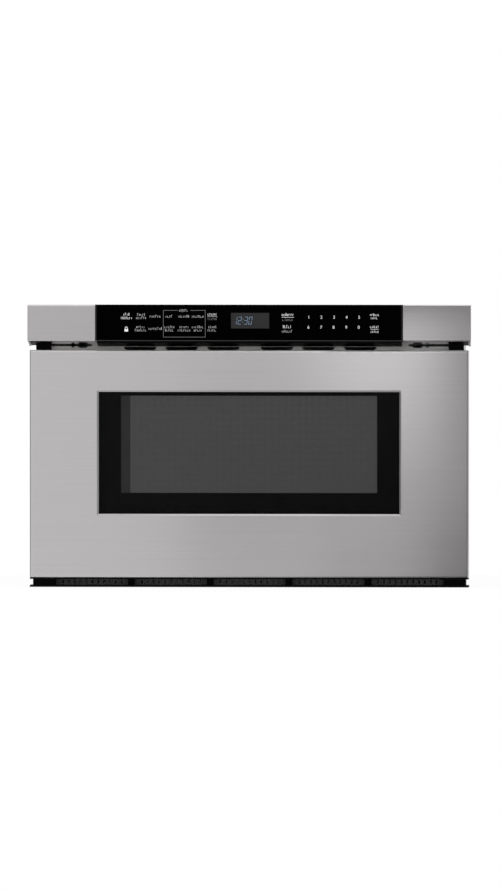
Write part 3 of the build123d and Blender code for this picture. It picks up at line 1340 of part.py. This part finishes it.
def build():
    os.makedirs("parts", exist_ok=True)
    save("base_pan", base_pan())
    save("top_cover", top_cover())
    save("back_panel", back_panel())
    save("cord_gland", cord_gland())
    save("front_frame", front_frame())
    save("intake_channel", intake_channel())
    save("intake_screen", intake_screen())
    save("cavity_floor", cavity_floor())
    save("cavity_ceiling", cavity_ceiling())
    save("cavity_walls", group([cavity_rear(), cavity_side(), to_left(cavity_side())]))
    save("oven_lamp", oven_lamp())
    save("tub_rear_wall", tub_rear())
    save("tub_floor_frame", tub_floor_frame())
    save("ceramic_floor", ceramic_floor())
    save("door_skin", door_skin())
    save("window_gasket", window_gasket())
    save("door_glass", door_glass())
    save("door_screen", door_screen())
    save("door_pan", door_pan())
    save("choke_cover", choke_cover())
    save("inner_glass", inner_glass())
    save("cross_shaft", cross_shaft())
    save("drive_pinions", pinions())
    save("driven_gear", driven_gear())
    save("motor_gear", motor_gear())
    save("drawer_motor", drawer_motor())
    save("drive_brackets", group([motor_bracket(), bearing_bracket(), to_left(bearing_bracket())]))
    save("shaft_bushes", shaft_bushes())
    save("waveguide", waveguide())
    save("antenna", antenna())
    save("antenna_motor", antenna_motor())
    save("magnetron", magnetron())
    save("transformer", group(transformer()))
    save("high_voltage_capacitor", group([*capacitor(), diode()]))
    save("fan_shroud", fan_shroud())
    save("fan_motor", fan_motor())
    save("fan_blade", fan_blade())
    save("exhaust_duct", exhaust_duct())
    save("control_boards", group([control_board(), touch_film()]))
    save("display_module", display_module())
    save("control_glass", control_glass())
    save("panel_skin", panel_skin())
    save("panel_housing", panel_housing())
    save("panel_chin", panel_chin())
    save("filter_board", filter_board())
    save("sensors", group([humidity_sensor(), *thermal_cutouts()]))
    save("screws", screws())
    for name, make in SIDED.items():
        piece = make()
        save(f"right_{name}", piece)
        save(f"left_{name}", to_left(piece))
    for name, makers in PAIRED.items():
        right = group([make() for make in makers])
        save(name, group([right, to_left(right)]))


SIDED = {
    "side_panel": side_panel,
    "tub_wall": tub_side,
    "mid_rail": mid_rail,
}
PAIRED = {
    "outer_rails": [outer_rail],
    "inner_rails": [inner_rail],
    "drive_racks": [drive_rack],
    "panel_brackets": [panel_bracket],
    "panel_caps": [panel_cap],
    "door_brackets": [door_hook, rail_bracket],
    "interlock_switches": [interlock_switches],
}

build()
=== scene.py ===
import math
import random

import bpy
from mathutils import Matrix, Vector


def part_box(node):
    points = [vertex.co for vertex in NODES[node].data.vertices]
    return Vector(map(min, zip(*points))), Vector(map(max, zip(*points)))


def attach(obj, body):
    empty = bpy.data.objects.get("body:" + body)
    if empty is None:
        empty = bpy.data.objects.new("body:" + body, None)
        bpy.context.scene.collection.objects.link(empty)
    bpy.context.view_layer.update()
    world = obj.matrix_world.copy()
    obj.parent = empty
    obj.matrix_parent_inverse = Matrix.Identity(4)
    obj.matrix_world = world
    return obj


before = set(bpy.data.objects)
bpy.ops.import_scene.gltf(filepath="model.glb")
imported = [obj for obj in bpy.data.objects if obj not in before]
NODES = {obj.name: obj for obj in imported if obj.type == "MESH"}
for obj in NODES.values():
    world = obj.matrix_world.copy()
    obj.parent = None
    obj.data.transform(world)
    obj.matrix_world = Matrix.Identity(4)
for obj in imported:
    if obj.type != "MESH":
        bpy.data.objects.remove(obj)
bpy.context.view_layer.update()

MM = 0.001
WHITE = (1.0, 1.0, 1.0)
BLACK = (0.0, 0.0, 0.0)
UNSTRETCHED = (1.0, 1.0, 1.0)


# ---------------------------------------------------------------- places
def edge(node, axis, end):
    """Where a CAD node ends along an axis, in millimetres: end 0 is its low end and 1 its high end."""
    return round(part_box(node)[end][axis] / MM, 3)


Y_GLASS = edge("control_glass", 1, 0)
PRINT_LIFT = 0.06         # front of the print ahead of the control glass
Y_PRINT = Y_GLASS - PRINT_LIFT
PRINT_T = 0.05

# The picture's pixels, as they lie on the control glass, in millimetres
PX_WIDE, PX_TALL = 1.36996, 1.3683
PX_MID = 248.25           # a column near the part's middle
X_MID = 0.42              # where that column lies on the glass
PX_FOOT = 587.0           # the row of the part's foot


def across(px):
    """The x on the control glass of a column of the picture."""
    return (px - PX_MID) * PX_WIDE + X_MID


def up(py):
    """The z on the control glass of a row of the picture."""
    return (PX_FOOT - py) * PX_TALL


# ---------------------------------------------------------------- material tools
NOISE_LOW, NOISE_HIGH = 0.25, 0.75    # nearly all of a noise lies between these
MOTTLE_LOW, MOTTLE_HIGH = 0.3, 0.7


def link(tree, a, b):
    tree.links.new(a, b)


def plain(name, colour, rough, metallic=0.0, **more):
    """A principled material with its constants set on the shader's own sockets."""
    made = bpy.data.materials.new(name)
    made.use_nodes = True
    shader = made.node_tree.nodes["Principled BSDF"]
    shader.inputs["Base Color"].default_value = (*colour, 1.0)
    shader.inputs["Roughness"].default_value = rough
    shader.inputs["Metallic"].default_value = metallic
    for socket, value in more.items():
        shader.inputs[socket.replace("_", " ")].default_value = value
    return made, made.node_tree, shader


def place(tree, scale):
    """Object coordinates in metres, times the scale along each axis."""
    coord = tree.nodes.new("ShaderNodeTexCoord")
    mapping = tree.nodes.new("ShaderNodeMapping")
    mapping.inputs["Scale"].default_value = scale
    link(tree, coord.outputs["Object"], mapping.inputs["Vector"])
    return mapping.outputs["Vector"]


def noise(tree, scale, detail=3.0, stretch=UNSTRETCHED, rough=0.55):
    made = tree.nodes.new("ShaderNodeTexNoise")
    made.inputs["Scale"].default_value = scale
    made.inputs["Detail"].default_value = detail
    made.inputs["Roughness"].default_value = rough
    link(tree, place(tree, stretch), made.inputs["Vector"])
    return made.outputs["Fac"]


def cells(tree, scale, randomness, stretch=UNSTRETCHED):
    made = tree.nodes.new("ShaderNodeTexVoronoi")
    made.inputs["Scale"].default_value = scale
    made.inputs["Randomness"].default_value = randomness
    link(tree, place(tree, stretch), made.inputs["Vector"])
    return made


def ramp(tree, fac, low, high):
    """A colour that goes over fac from one stop to the other; a stop is (fac, colour)."""
    made = tree.nodes.new("ShaderNodeValToRGB")
    for element, (at, colour) in zip(made.color_ramp.elements, (low, high)):
        element.position = at
        element.color = (*colour, 1.0)
    link(tree, fac, made.inputs["Fac"])
    return made.outputs["Color"]


def span(tree, fac, low, high):
    """fac from its middle half to the range low to high."""
    made = tree.nodes.new("ShaderNodeMapRange")
    made.inputs["From Min"].default_value = NOISE_LOW
    made.inputs["From Max"].default_value = NOISE_HIGH
    made.inputs["To Min"].default_value = low
    made.inputs["To Max"].default_value = high
    link(tree, fac, made.inputs["Value"])
    return made.outputs["Result"]


def bump(tree, shader, fac, strength, distance):
    made = tree.nodes.new("ShaderNodeBump")
    made.inputs["Strength"].default_value = strength
    made.inputs["Distance"].default_value = distance
    link(tree, fac, made.inputs["Height"])
    link(tree, made.outputs["Normal"], shader.inputs["Normal"])


def tinted(colour, by):
    return tuple(min(1.0, c * by) for c in colour)


def mottled(tree, shader, colour, fac, by):
    """Base colour that varies by the share by, up and down, with fac."""
    shade = ramp(tree, fac, (MOTTLE_LOW, tinted(colour, 1 - by)), (MOTTLE_HIGH, tinted(colour, 1 + by)))
    link(tree, shade, shader.inputs["Base Color"])


def uneven_gloss(tree, shader, fac, rough, by):
    """Roughness that varies by the share by, up and down, with fac."""
    link(tree, span(tree, fac, rough * (1 - by), rough * (1 + by)), shader.inputs["Roughness"])


# ---------------------------------------------------------------- kinds of surface
def brushed(name, colour, rough, spread):
    """Sheet steel with its grain along X: the gloss is drawn out across the grain."""
    made, tree, shader = plain(name, colour, rough, 1.0, Anisotropic=spread)
    axis = tree.nodes.new("ShaderNodeCombineXYZ")
    axis.inputs["Y"].default_value = 0.2
    axis.inputs["Z"].default_value = 1.0
    link(tree, axis.outputs["Vector"], shader.inputs["Tangent"])
    grain = noise(tree, 1.0, 4.0, (5.0, 1600.0, 1600.0), 0.6)
    mottled(tree, shader, colour, grain, 0.035)
    uneven_gloss(tree, shader, noise(tree, 1.0, 2.0, (9.0, 700.0, 700.0)), rough, 0.07)
    return made


def sheet_zinc(name, colour, rough):
    """Galvanised sheet: spangles some 7 mm across, each with a tone of its own."""
    made, tree, shader = plain(name, colour, rough, 1.0)
    spangles = cells(tree, 140.0, 1.0)
    grey = tree.nodes.new("ShaderNodeRGBToBW")
    link(tree, spangles.outputs["Color"], grey.inputs["Color"])
    mottled(tree, shader, colour, grey.outputs["Val"], 0.06)
    uneven_gloss(tree, shader, grey.outputs["Val"], rough, 0.05)
    bump(tree, shader, noise(tree, 600.0, 2.0), 0.12, 0.0001)
    return made


def grained(name, colour, rough, metallic=0.0, scale=900.0, depth=0.25, by=0.06, patch=40.0, **more):
    """Any other surface: a fine bump, a faint patchiness and an uneven gloss."""
    made, tree, shader = plain(name, colour, rough, metallic, **more)
    mottled(tree, shader, colour, noise(tree, patch, 4.0), by)
    fine = noise(tree, scale, 3.0)
    uneven_gloss(tree, shader, noise(tree, patch * 2.5, 3.0), rough, 0.15)
    bump(tree, shader, fine, depth, 0.00012)
    return made


def layered(name, dark, light, density, rough):
    """Stacked steel sheets: thin lines, the closer together the larger the density."""
    made, tree, shader = plain(name, dark, rough, 0.8)
    wave = tree.nodes.new("ShaderNodeTexWave")
    wave.bands_direction = "Y"
    wave.inputs["Scale"].default_value = 1.0
    wave.inputs["Distortion"].default_value = 0.4
    link(tree, place(tree, (1.0, density, 1.0)), wave.inputs["Vector"])
    link(tree, ramp(tree, wave.outputs["Fac"], (0.2, dark), (0.8, light)), shader.inputs["Base Color"])
    bump(tree, shader, wave.outputs["Fac"], 0.4, 0.0002)
    return made


def perforated(name, metal, hole, pitch, rough):
    """A sheet with rows of small round holes, too fine to model one by one; pitch is in metres."""
    made, tree, shader = plain(name, metal, rough, 0.4)
    holes = cells(tree, 1.0, 0.0, (1.0 / pitch, 0.0, 1.0 / pitch))
    shade = ramp(tree, holes.outputs["Distance"], (0.26, hole), (0.34, metal))
    link(tree, shade, shader.inputs["Base Color"])
    return made


def glowing(name, colour, strength):
    made, tree, shader = plain(name, (0.01, 0.01, 0.012), 0.3)
    shader.inputs["Emission Color"].default_value = (*colour, 1.0)
    shader.inputs["Emission Strength"].default_value = strength
    return made


# ---------------------------------------------------------------- finishes, by the record's slots
FINISH = {
    "stainless": brushed("stainless_brushed", (0.605, 0.587, 0.593), 0.34, 0.95),
    "cap_grey": grained("cap_grey", (0.012, 0.012, 0.0125), 0.3),
    "frame_steel": grained("frame_steel", (0.54, 0.535, 0.525), 0.45, 0.7, patch=25.0),
    "galvanised": sheet_zinc("galvanised_sheet", (0.47, 0.478, 0.486), 0.5),
    "painted_steel": grained("painted_steel", (0.008, 0.008, 0.008), 0.38, scale=1500.0, depth=0.35,
                             Specular_IOR_Level=0.15),
    "black_glass": grained("black_glass", (0.0008, 0.0008, 0.001), 0.035, scale=60.0, depth=0.01,
                           by=0.02, Specular_IOR_Level=0.35),
    "gloss_black": grained("gloss_black", (0.002, 0.002, 0.002), 0.25, scale=200.0, depth=0.04,
                           Specular_IOR_Level=0.02),
    "black_plastic": grained("black_plastic", (0.004, 0.004, 0.0042), 0.5, scale=1800.0, depth=0.5,
                             Specular_IOR_Level=0.03),
    "dark_screen": perforated("dark_screen", (0.30, 0.30, 0.30), (0.10, 0.10, 0.10), 0.0016, 0.5),
    "window_glass": grained("window_glass", (0.004, 0.004, 0.004), 0.04, scale=60.0, depth=0.01,
                            by=0.02, Alpha=0.3),
    "enamel": grained("enamel", (0.52, 0.52, 0.515), 0.22, scale=350.0, depth=0.15, by=0.025,
                      Coat_Weight=0.4),
    "ceramic": grained("ceramic", (0.80, 0.79, 0.765), 0.18, scale=250.0, depth=0.08, by=0.015),
    "display": grained("display_case", (0.015, 0.016, 0.018), 0.3),
    "circuit_board": grained("circuit_board", (0.02, 0.13, 0.05), 0.4, scale=700.0, depth=0.6, by=0.25,
                             patch=160.0),
    "aluminium": grained("aluminium", (0.72, 0.72, 0.73), 0.33, 1.0, scale=700.0),
    "motor_case": grained("motor_case", (0.38, 0.38, 0.39), 0.4, 0.9),
    "lamination": layered("lamination", (0.09, 0.09, 0.095), (0.24, 0.24, 0.25), 1900.0, 0.5),
    "brass": grained("brass", (0.62, 0.42, 0.15), 0.3, 1.0),
    "white_plastic": grained("white_plastic", (0.74, 0.73, 0.69), 0.42, scale=1300.0),
    "gear_steel": grained("gear_steel", (0.42, 0.41, 0.40), 0.3, 1.0, scale=1200.0, depth=0.3),
    "screw_steel": grained("screw_steel", (0.60, 0.60, 0.61), 0.28, 1.0, scale=1400.0),
}

for node in NODES.values():
    for slot in node.material_slots:
        slot.material = FINISH[slot.material.name.split(".")[0]]

# The control panel's steel is a shade darker than the door's.
NODES["panel_skin"].material_slots[0].material = brushed(
    "stainless_panel", (0.525, 0.509, 0.515), 0.34, 0.85)
# The air intake's strips are blacker than the window's screen, and too fine for their holes to be seen.
NODES["intake_screen"].material_slots[0].material = grained(
    "intake_mesh", (0.14, 0.137, 0.138), 0.7, scale=2500.0, depth=0.08, Specular_IOR_Level=0.1)

INK_BRIGHT = grained("ink_bright", (0.85, 0.85, 0.85), 0.5, depth=0.05)
INK = grained("ink", (0.44, 0.44, 0.44), 0.5, depth=0.05)
INK_DIM = grained("ink_dim", (0.16, 0.16, 0.16), 0.5, depth=0.05)
# A grey that stands for a painted highlight on the control glass's lower edge.
PAINTED_GLASS_HIGHLIGHT = grained("glass_edge", (0.022, 0.022, 0.022), 0.5, depth=0.05)
READOUT_GREY = grained("readout_window", (0.0185, 0.0185, 0.0187), 0.25, depth=0.05,
                       Specular_IOR_Level=0.35)
READOUT_LIT = glowing("readout_lit", (0.17, 0.25, 0.36), 1.0)
WINDOW_BLACK = grained("window_print", (0.005, 0.005, 0.005), 0.35, depth=0.05, Specular_IOR_Level=0.2)
# A dark grey that stands for painted shade on the left end of the window's screen.
PAINTED_SCREEN_SHADE = grained("screen_edge", (0.075, 0.075, 0.075), 0.5, scale=1200.0)


# ---------------------------------------------------------------- thin plates
def mesh_of(name, corners, faces, material, body):
    mesh = bpy.data.meshes.new(name)
    mesh.from_pydata([Vector(c) * MM for c in corners], [], faces)
    mesh.update()
    made = bpy.data.objects.new(name, mesh)
    bpy.context.scene.collection.objects.link(made)
    made.data.materials.append(material)
    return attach(made, body)


def plates(name, shapes, y, thick, material, body):
    """Flat shapes in the x z plane, each a list of corners in turn, as plates whose front is at y."""
    corners, faces = [], []
    for shape in shapes:
        n, first = len(shape), len(corners)
        corners += [(x, y, z) for x, z in shape] + [(x, y + thick, z) for x, z in shape]
        front = list(range(first, first + n))
        back = [i + n for i in front]
        faces += [front, back[::-1]]
        faces += [[front[i], back[i], back[(i + 1) % n], front[(i + 1) % n]] for i in range(n)]
    return mesh_of(name, corners, faces, material, body)


def bar(x0, x1, z0, z1):
    return [(x0, z0), (x1, z0), (x1, z1), (x0, z1)]


def pixel_bar(px0, px1, py_low, py_high):
    """A bar between two columns and two rows of the picture."""
    return bar(across(px0), across(px1), up(py_low), up(py_high))


# ---------------------------------------------------------------- print on the control glass
MARK_GAP = 0.62                         # pixels between two marks
MARK_WIDTHS = (0.9, 1.15, 1.4)          # pixels
MARK_HEIGHTS = (0.72, 0.72, 1.0)        # shares of the row's height
MARK_LEAST = 0.5                        # pixels: no mark starts nearer than this to its row's end
STROKE = 0.45                           # millimetres


def word(px, py, width, height, seed):
    """A row of small upright marks in the place of a word: it says nothing, and is as long and as tall."""
    pick = random.Random(seed)
    shapes, at = [], px - width / 2
    end = px + width / 2
    while at < end - MARK_LEAST:
        wide = min(pick.choice(MARK_WIDTHS), end - at)
        tall = height * pick.choice(MARK_HEIGHTS)
        left, right = across(at), across(at + wide)
        low = up(py + height / 2)
        top = low + tall * PX_TALL
        kind = pick.randrange(4)
        if kind == 0:
            shapes += [bar(left, left + STROKE, low, top), bar(left + STROKE, right, top - STROKE, top)]
        elif kind == 1:
            shapes += [bar(left, left + STROKE, low, top), bar(right - STROKE, right, low, top)]
        elif kind == 2:
            shapes += [bar(left, right, low, low + STROKE), bar(left, left + STROKE, low + STROKE, top)]
        else:
            middle = (left + right - STROKE) / 2
            shapes += [bar(middle, middle + STROKE, low, top)]
        at += wide + MARK_GAP
    return shapes


def words(rows, seed):
    return [shape for i, row in enumerate(rows) for shape in word(*row, seed + i)]


def line(px0, px1, py):
    """A thin level line between two columns of the picture."""
    z = up(py)
    return bar(across(px0), across(px1), z - STROKE / 2, z + STROKE / 2)


def open_frame(px0, px1, py_low, py_high, gap, wide):
    """A rectangle in thin lines, its top line open between the two columns of gap."""
    x0, x1, z0, z1 = across(px0), across(px1), up(py_low), up(py_high)
    return [
        bar(x0, x0 + wide, z0, z1),
        bar(x1 - wide, x1, z0, z1),
        bar(x0 + wide, x1 - wide, z0, z0 + wide),
        bar(x0 + wide, across(gap[0]), z1 - wide, z1),
        bar(across(gap[1]), x1 - wide, z1 - wide, z1),
    ]


# Each row of marks is given by its middle's column and row, its length and its height, in pixels.
SMALL, LARGE = 2.5, 2.9
BRIGHT_WORDS = [
    (126.0, 314.6, 7.5, SMALL), (126.0, 318.2, 12.0, SMALL),
    (211.4, 314.3, 9.0, LARGE), (286.7, 314.8, 11.8, LARGE), (286.2, 326.8, 8.6, LARGE),
    (373.3, 314.9, 9.0, SMALL), (373.2, 318.0, 7.8, SMALL), (373.2, 326.8, 8.6, SMALL),
    (373.2, 331.6, 7.8, SMALL),
]
WORDS = [
    (140.3, 314.8, 7.4, SMALL), (140.3, 318.0, 9.6, SMALL), (154.6, 316.6, 11.2, SMALL),
    (139.8, 327.1, 8.4, SMALL), (139.8, 330.4, 11.0, SMALL), (154.2, 328.8, 13.6, SMALL),
    (183.2, 310.7, 9.6, SMALL), (168.6, 316.6, 7.8, SMALL), (183.0, 316.6, 10.2, SMALL),
    (196.9, 316.6, 12.0, SMALL), (168.6, 327.1, 9.8, SMALL), (168.6, 330.4, 8.6, SMALL),
    (183.0, 327.1, 9.4, SMALL), (183.0, 330.4, 12.8, SMALL), (196.9, 327.1, 11.6, SMALL),
    (196.9, 330.4, 7.6, SMALL), (211.3, 327.1, 8.4, SMALL), (211.3, 330.4, 9.0, SMALL),
    (286.2, 331.4, 10.4, SMALL),
]
DIM_WORDS = [(211.5, 319.0, 9.6, SMALL), (286.7, 319.9, 10.8, SMALL)]
BRIGHT_LINES = [(280.5, 292.9, 317.5), (369.0, 377.4, 329.3)]
DIM_LINE = (206.5, 216.6, 316.8)
KEY_FRAME = open_frame(162.4, 204.6, 337.5, 310.5, gap=(177.2, 189.4), wide=0.5)

plates("print_bright", words(BRIGHT_WORDS, 10) + [line(*row) for row in BRIGHT_LINES],
       Y_PRINT, PRINT_T, INK_BRIGHT, "chassis")
plates("print_words", words(WORDS, 40) + [line(*DIM_LINE)], Y_PRINT, PRINT_T, INK, "chassis")
plates("print_dim", words(DIM_WORDS, 80) + KEY_FRAME, Y_PRINT, PRINT_T, INK_DIM, "chassis")

# A small padlock: a body and a bow over it, in millimetres from the place of its middle.
LOCK_PX, LOCK_PY = 125.6, 331.2
LOCK_HALF, LOCK_LOW, LOCK_TOP = 2.4, -0.8, 2.6
BOW_UP, BOW_OUTER, BOW_INNER, BOW_STEPS = 4.0, 1.9, 1.15, 8


def lock_symbol():
    x, z = across(LOCK_PX), up(LOCK_PY)
    bow = []
    for r, turn in ((BOW_OUTER, 1), (BOW_INNER, -1)):
        angles = [math.pi * k / BOW_STEPS for k in range(BOW_STEPS + 1)]
        arc = [(x + r * math.cos(a), z + BOW_UP + r * math.sin(a)) for a in angles]
        bow += ([(x + r, z + LOCK_TOP)] + arc + [(x - r, z + LOCK_TOP)])[::turn]
    return [bar(x - LOCK_HALF, x + LOCK_HALF, z + LOCK_LOW, z + LOCK_TOP), bow]


plates("print_lock", lock_symbol(), Y_PRINT, PRINT_T, INK_BRIGHT, "chassis")

FIGURE_SIZE = 5.8         # millimetres, of the face's full height
FIGURE_HALF_T = 0.02


def figure(name, text, px, py, material, body):
    """A figure in the face that comes with Blender, as a thin plate; px, py is its middle."""
    curve = bpy.data.curves.new(name, "FONT")
    curve.body = text
    curve.size = FIGURE_SIZE * MM
    curve.align_x = "CENTER"
    curve.align_y = "CENTER"
    curve.extrude = FIGURE_HALF_T * MM
    source = bpy.data.objects.new(name + "_curve", curve)
    bpy.context.scene.collection.objects.link(source)
    bpy.context.view_layer.update()
    mesh = bpy.data.meshes.new_from_object(source.evaluated_get(bpy.context.evaluated_depsgraph_get()))
    bpy.data.objects.remove(source)
    made = bpy.data.objects.new(name, mesh)
    bpy.context.scene.collection.objects.link(made)
    made.data.materials.clear()
    made.data.materials.append(material)
    made.rotation_euler = (math.pi / 2, 0.0, 0.0)
    made.location = (across(px) * MM, Y_PRINT * MM, up(py) * MM)
    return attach(made, body)


KEY_COLUMNS = (307.7, 320.3, 332.8, 345.4, 357.9)
KEY_ROWS = (("12345", 317.5), ("67890", 327.5))
ROW_SHIFT = -0.4          # pixels, of the lower row against the upper one
for row, (figures, py) in enumerate(KEY_ROWS):
    for px, text in zip(KEY_COLUMNS, figures):
        figure(f"key_{text}", text, px + ROW_SHIFT * row, py, INK_BRIGHT, "chassis")

# A painted highlight: a fine grey line stands for the gloss on the polished lower edge of the control
# glass.
plates("glass_edge", [pixel_bar(94.6, 401.6, 341.2, 340.6)], Y_PRINT, PRINT_T, PAINTED_GLASS_HIGHLIGHT, "chassis")

# ---------------------------------------------------------------- readout
READOUT_LIFT, READOUT_T = 0.03, 0.02
SIGNS_LIFT, SIGNS_T = 0.08, 0.04
SIGN_W, SIGN_H, SIGN_PITCH = 4.3, 10.4, 6.0     # millimetres
SIGN_SLANT = 0.16
STICK = 0.6               # thickness of a lit bar
STICK_GAP = 0.5           # upright bars short of the middle bar
STICK_END = 0.4           # upright bars short of the top and the foot
DOT = 0.8
DOT_PLACES = (0.28, 0.64)                       # shares of the height
DOT_PITCH = 0.42                                # share of a figure's pitch
LIT_BARS = {"0": "abcdef", "1": "bc", "2": "abged", "3": "abgcd"}


def seven_bars():
    """The seven bars of a figure, named as is usual, clockwise from the top, with g in the middle."""
    half = SIGN_H / 2
    upper = (half + STICK_GAP, SIGN_H - STICK_END)
    lower = (STICK_END, half - STICK_GAP)
    return {
        "a": (0.0, SIGN_W, SIGN_H - STICK, SIGN_H),
        "b": (SIGN_W - STICK, SIGN_W, *upper),
        "c": (SIGN_W - STICK, SIGN_W, *lower),
        "d": (0.0, SIGN_W, 0.0, STICK),
        "e": (0.0, STICK, *lower),
        "f": (0.0, STICK, *upper),
        "g": (0.0, SIGN_W, half - STICK / 2, half + STICK / 2),
    }


def lit_signs(text, px, py):
    """Lit bars of a seven-bar readout; px is the left of the first figure and py the foot of the row."""
    shapes = []
    left, foot = across(px), up(py)
    for sign in text:
        if sign == ":":
            parts = [bar(0.0, DOT, SIGN_H * at, SIGN_H * at + DOT) for at in DOT_PLACES]
        else:
            parts = [bar(*seven_bars()[letter]) for letter in LIT_BARS[sign]]
        shapes += [[(left + x + SIGN_SLANT * z, foot + z) for x, z in part] for part in parts]
        left += SIGN_PITCH * (DOT_PITCH if sign == ":" else 1.0)
    return shapes


# A dim window behind the glass, with lit bars in it.
plates("readout_window", [pixel_bar(230.1, 268.2, 328.6, 313.1)], Y_GLASS - READOUT_LIFT, READOUT_T,
       READOUT_GREY, "chassis")
plates("readout_figures", lit_signs("12:30", 232.3, 324.6), Y_GLASS - SIGNS_LIFT, SIGNS_T,
       READOUT_LIT, "chassis")

# ---------------------------------------------------------------- print round the window
# It is on the back of the door glass and leaves the screen free. All in millimetres.
BACK_GAP = 0.05           # print behind the glass
Y_BACK = edge("door_glass", 1, 1) + BACK_GAP
OUT_X = edge("door_glass", 0, 1) - 0.5
OUT_LOW = edge("door_glass", 2, 0) + 0.4
OUT_HIGH = edge("door_glass", 2, 1) - 0.4
VIEW_LEFT, VIEW_RIGHT = -175.2, 174.9
VIEW_LOW, VIEW_HIGH = 128.6, 261.4
# The screen's left end carries a painted shade, which stands for the shaded side wall of the window's
# recess.
STRIP_RIGHT = -162.5      # the screen's darker left end goes to here

plates("window_print",
       [bar(-OUT_X, VIEW_LEFT, OUT_LOW, OUT_HIGH), bar(VIEW_RIGHT, OUT_X, OUT_LOW, OUT_HIGH),
        bar(VIEW_LEFT, VIEW_RIGHT, OUT_LOW, VIEW_LOW), bar(VIEW_LEFT, VIEW_RIGHT, VIEW_HIGH, OUT_HIGH)],
       Y_BACK, PRINT_T, WINDOW_BLACK, "drawer")
# Painted shade: a dark grey strip over the screen's left end stands for the shaded side wall of the
# window's recess.
plates("screen_edge", [bar(VIEW_LEFT, STRIP_RIGHT, VIEW_LOW, VIEW_HIGH)], Y_BACK, PRINT_T,
       PAINTED_SCREEN_SHADE, "drawer")


# ---------------------------------------------------------------- surroundings, in metres
def card(name, centre, size, turn, strength):
    """A white card that the steel mirrors. The camera doesn't see it and it isn't part of the object."""
    w, h = size[0] / 2, size[1] / 2
    mesh = bpy.data.meshes.new(name)
    mesh.from_pydata([(-w, -h, 0), (w, -h, 0), (w, h, 0), (-w, h, 0)], [], [(0, 1, 2, 3)])
    made = bpy.data.objects.new(name, mesh)
    bpy.context.scene.collection.objects.link(made)
    made.location = centre
    made.rotation_euler = [math.radians(a) for a in turn]
    tone, tree, shader = plain(name, BLACK, 1.0, Specular_IOR_Level=0.0)
    shader.inputs["Emission Color"].default_value = (*WHITE, 1.0)
    shader.inputs["Emission Strength"].default_value = strength
    made.data.materials.append(tone)
    made.visible_camera = False
    made.visible_shadow = False
    made.visible_diffuse = False
    return made


LEVEL, UPRIGHT, SIDEWAYS = (0, 0, 0), (90, 0, 0), (90, 0, 90)


def upright_card(name, y, x0, x1, z0, z1, strength):
    """A card that faces the part's front, from x0 to x1 and z0 to z1."""
    return card(name, ((x0 + x1) / 2, y, (z0 + z1) / 2), (x1 - x0, z1 - z0), UPRIGHT, strength)


# A black card far ahead, in what the glass and the steel mirror straight on.
card("flag", (-0.16, -3.3, 0.10), (1.05, 0.7), UPRIGHT, 0.0)

# Each card is given by its left and right edge, its low and high edge and its strength.
# Near cards over the control panel, which alone is close enough to pick them up.
Y_NEAR = -0.40
upright_card("brow_left", Y_NEAR, -0.60, -0.15, 0.395, 0.90, 1.0)
upright_card("brow_right", Y_NEAR, 0.10, 0.60, 0.395, 0.90, 0.1)

# Small cards beside the folded edges of the panel and the door, and a large one above the part.
for side, x, strength in (("left", -0.36, 0.50), ("right", 0.36, 0.35)):
    card(f"edge_{side}", (x, -0.29, 0.20), (0.14, 0.42), SIDEWAYS, strength)
card("overhead", (0.0, -0.3, 1.7), (2.0, 1.0), LEVEL, 2.0)

# Cards ahead of the part, above and below what the glass mirrors: each is a column of light or shade
# that the steel picks up by its upright spread.
Y_AHEAD = -0.89
upright_card("high_middle", Y_AHEAD, 0.08, 0.25, 0.42, 1.30, 2.5)
upright_card("high_right", Y_AHEAD, 0.25, 0.90, 0.42, 1.30, 0.5)
upright_card("low_left", Y_AHEAD, -0.12, 0.08, -1.60, 0.05, 0.5)
upright_card("low_middle", Y_AHEAD, 0.08, 0.223, -1.60, 0.06, 0.17)
upright_card("low_right", Y_AHEAD, 0.223, 0.90, -1.60, 0.20, 0.0)

# The floor is pale and glows a little by itself, so that the part leaves only a faint shade on it.
FLOOR_SIZE, FLOOR_Z = 8.0, -0.0005
FLOOR_GLOW, FLOOR_TONE = 0.88, 0.14
floor = card("floor", (0.0, 0.0, FLOOR_Z), (FLOOR_SIZE, FLOOR_SIZE), LEVEL, FLOOR_GLOW)
floor_shader = floor.data.materials[0].node_tree.nodes["Principled BSDF"]
floor_shader.inputs["Base Color"].default_value = (FLOOR_TONE, FLOOR_TONE, FLOOR_TONE, 1.0)
floor.visible_camera = True
floor.visible_diffuse = True
floor.visible_glossy = False

world = bpy.data.worlds.new("white")
bpy.context.scene.world = world
world.use_nodes = True
world.node_tree.nodes["Background"].inputs["Color"].default_value = (*WHITE, 1.0)
world.node_tree.nodes["Background"].inputs["Strength"].default_value = 1.0

# ---------------------------------------------------------------- camera
AZIMUTH, ELEVATION, DISTANCE = math.radians(2.5), math.radians(1.5), 25.0
AIM = Vector((0.0014, -0.291, 0.1936))
SENSOR, FOCAL = 36.0, 739.6
back = Vector((math.sin(AZIMUTH) * math.cos(ELEVATION), -math.cos(AZIMUTH) * math.cos(ELEVATION),
               math.sin(ELEVATION)))
lens = bpy.data.cameras.new("camera")
lens.sensor_width = SENSOR
lens.lens = FOCAL
camera = bpy.data.objects.new("camera", lens)
bpy.context.scene.collection.objects.link(camera)
camera.location = AIM + back * DISTANCE
camera.rotation_mode = "QUATERNION"
camera.rotation_quaternion = (-back).to_track_quat("-Z", "Y")
bpy.context.scene.camera = camera

scene = bpy.context.scene
scene.view_settings.view_transform = "Standard"
scene.view_settings.look = "None"
scene.cycles.use_denoising = True
scene.cycles.max_bounces = 10
scene.cycles.transparent_max_bounces = 12
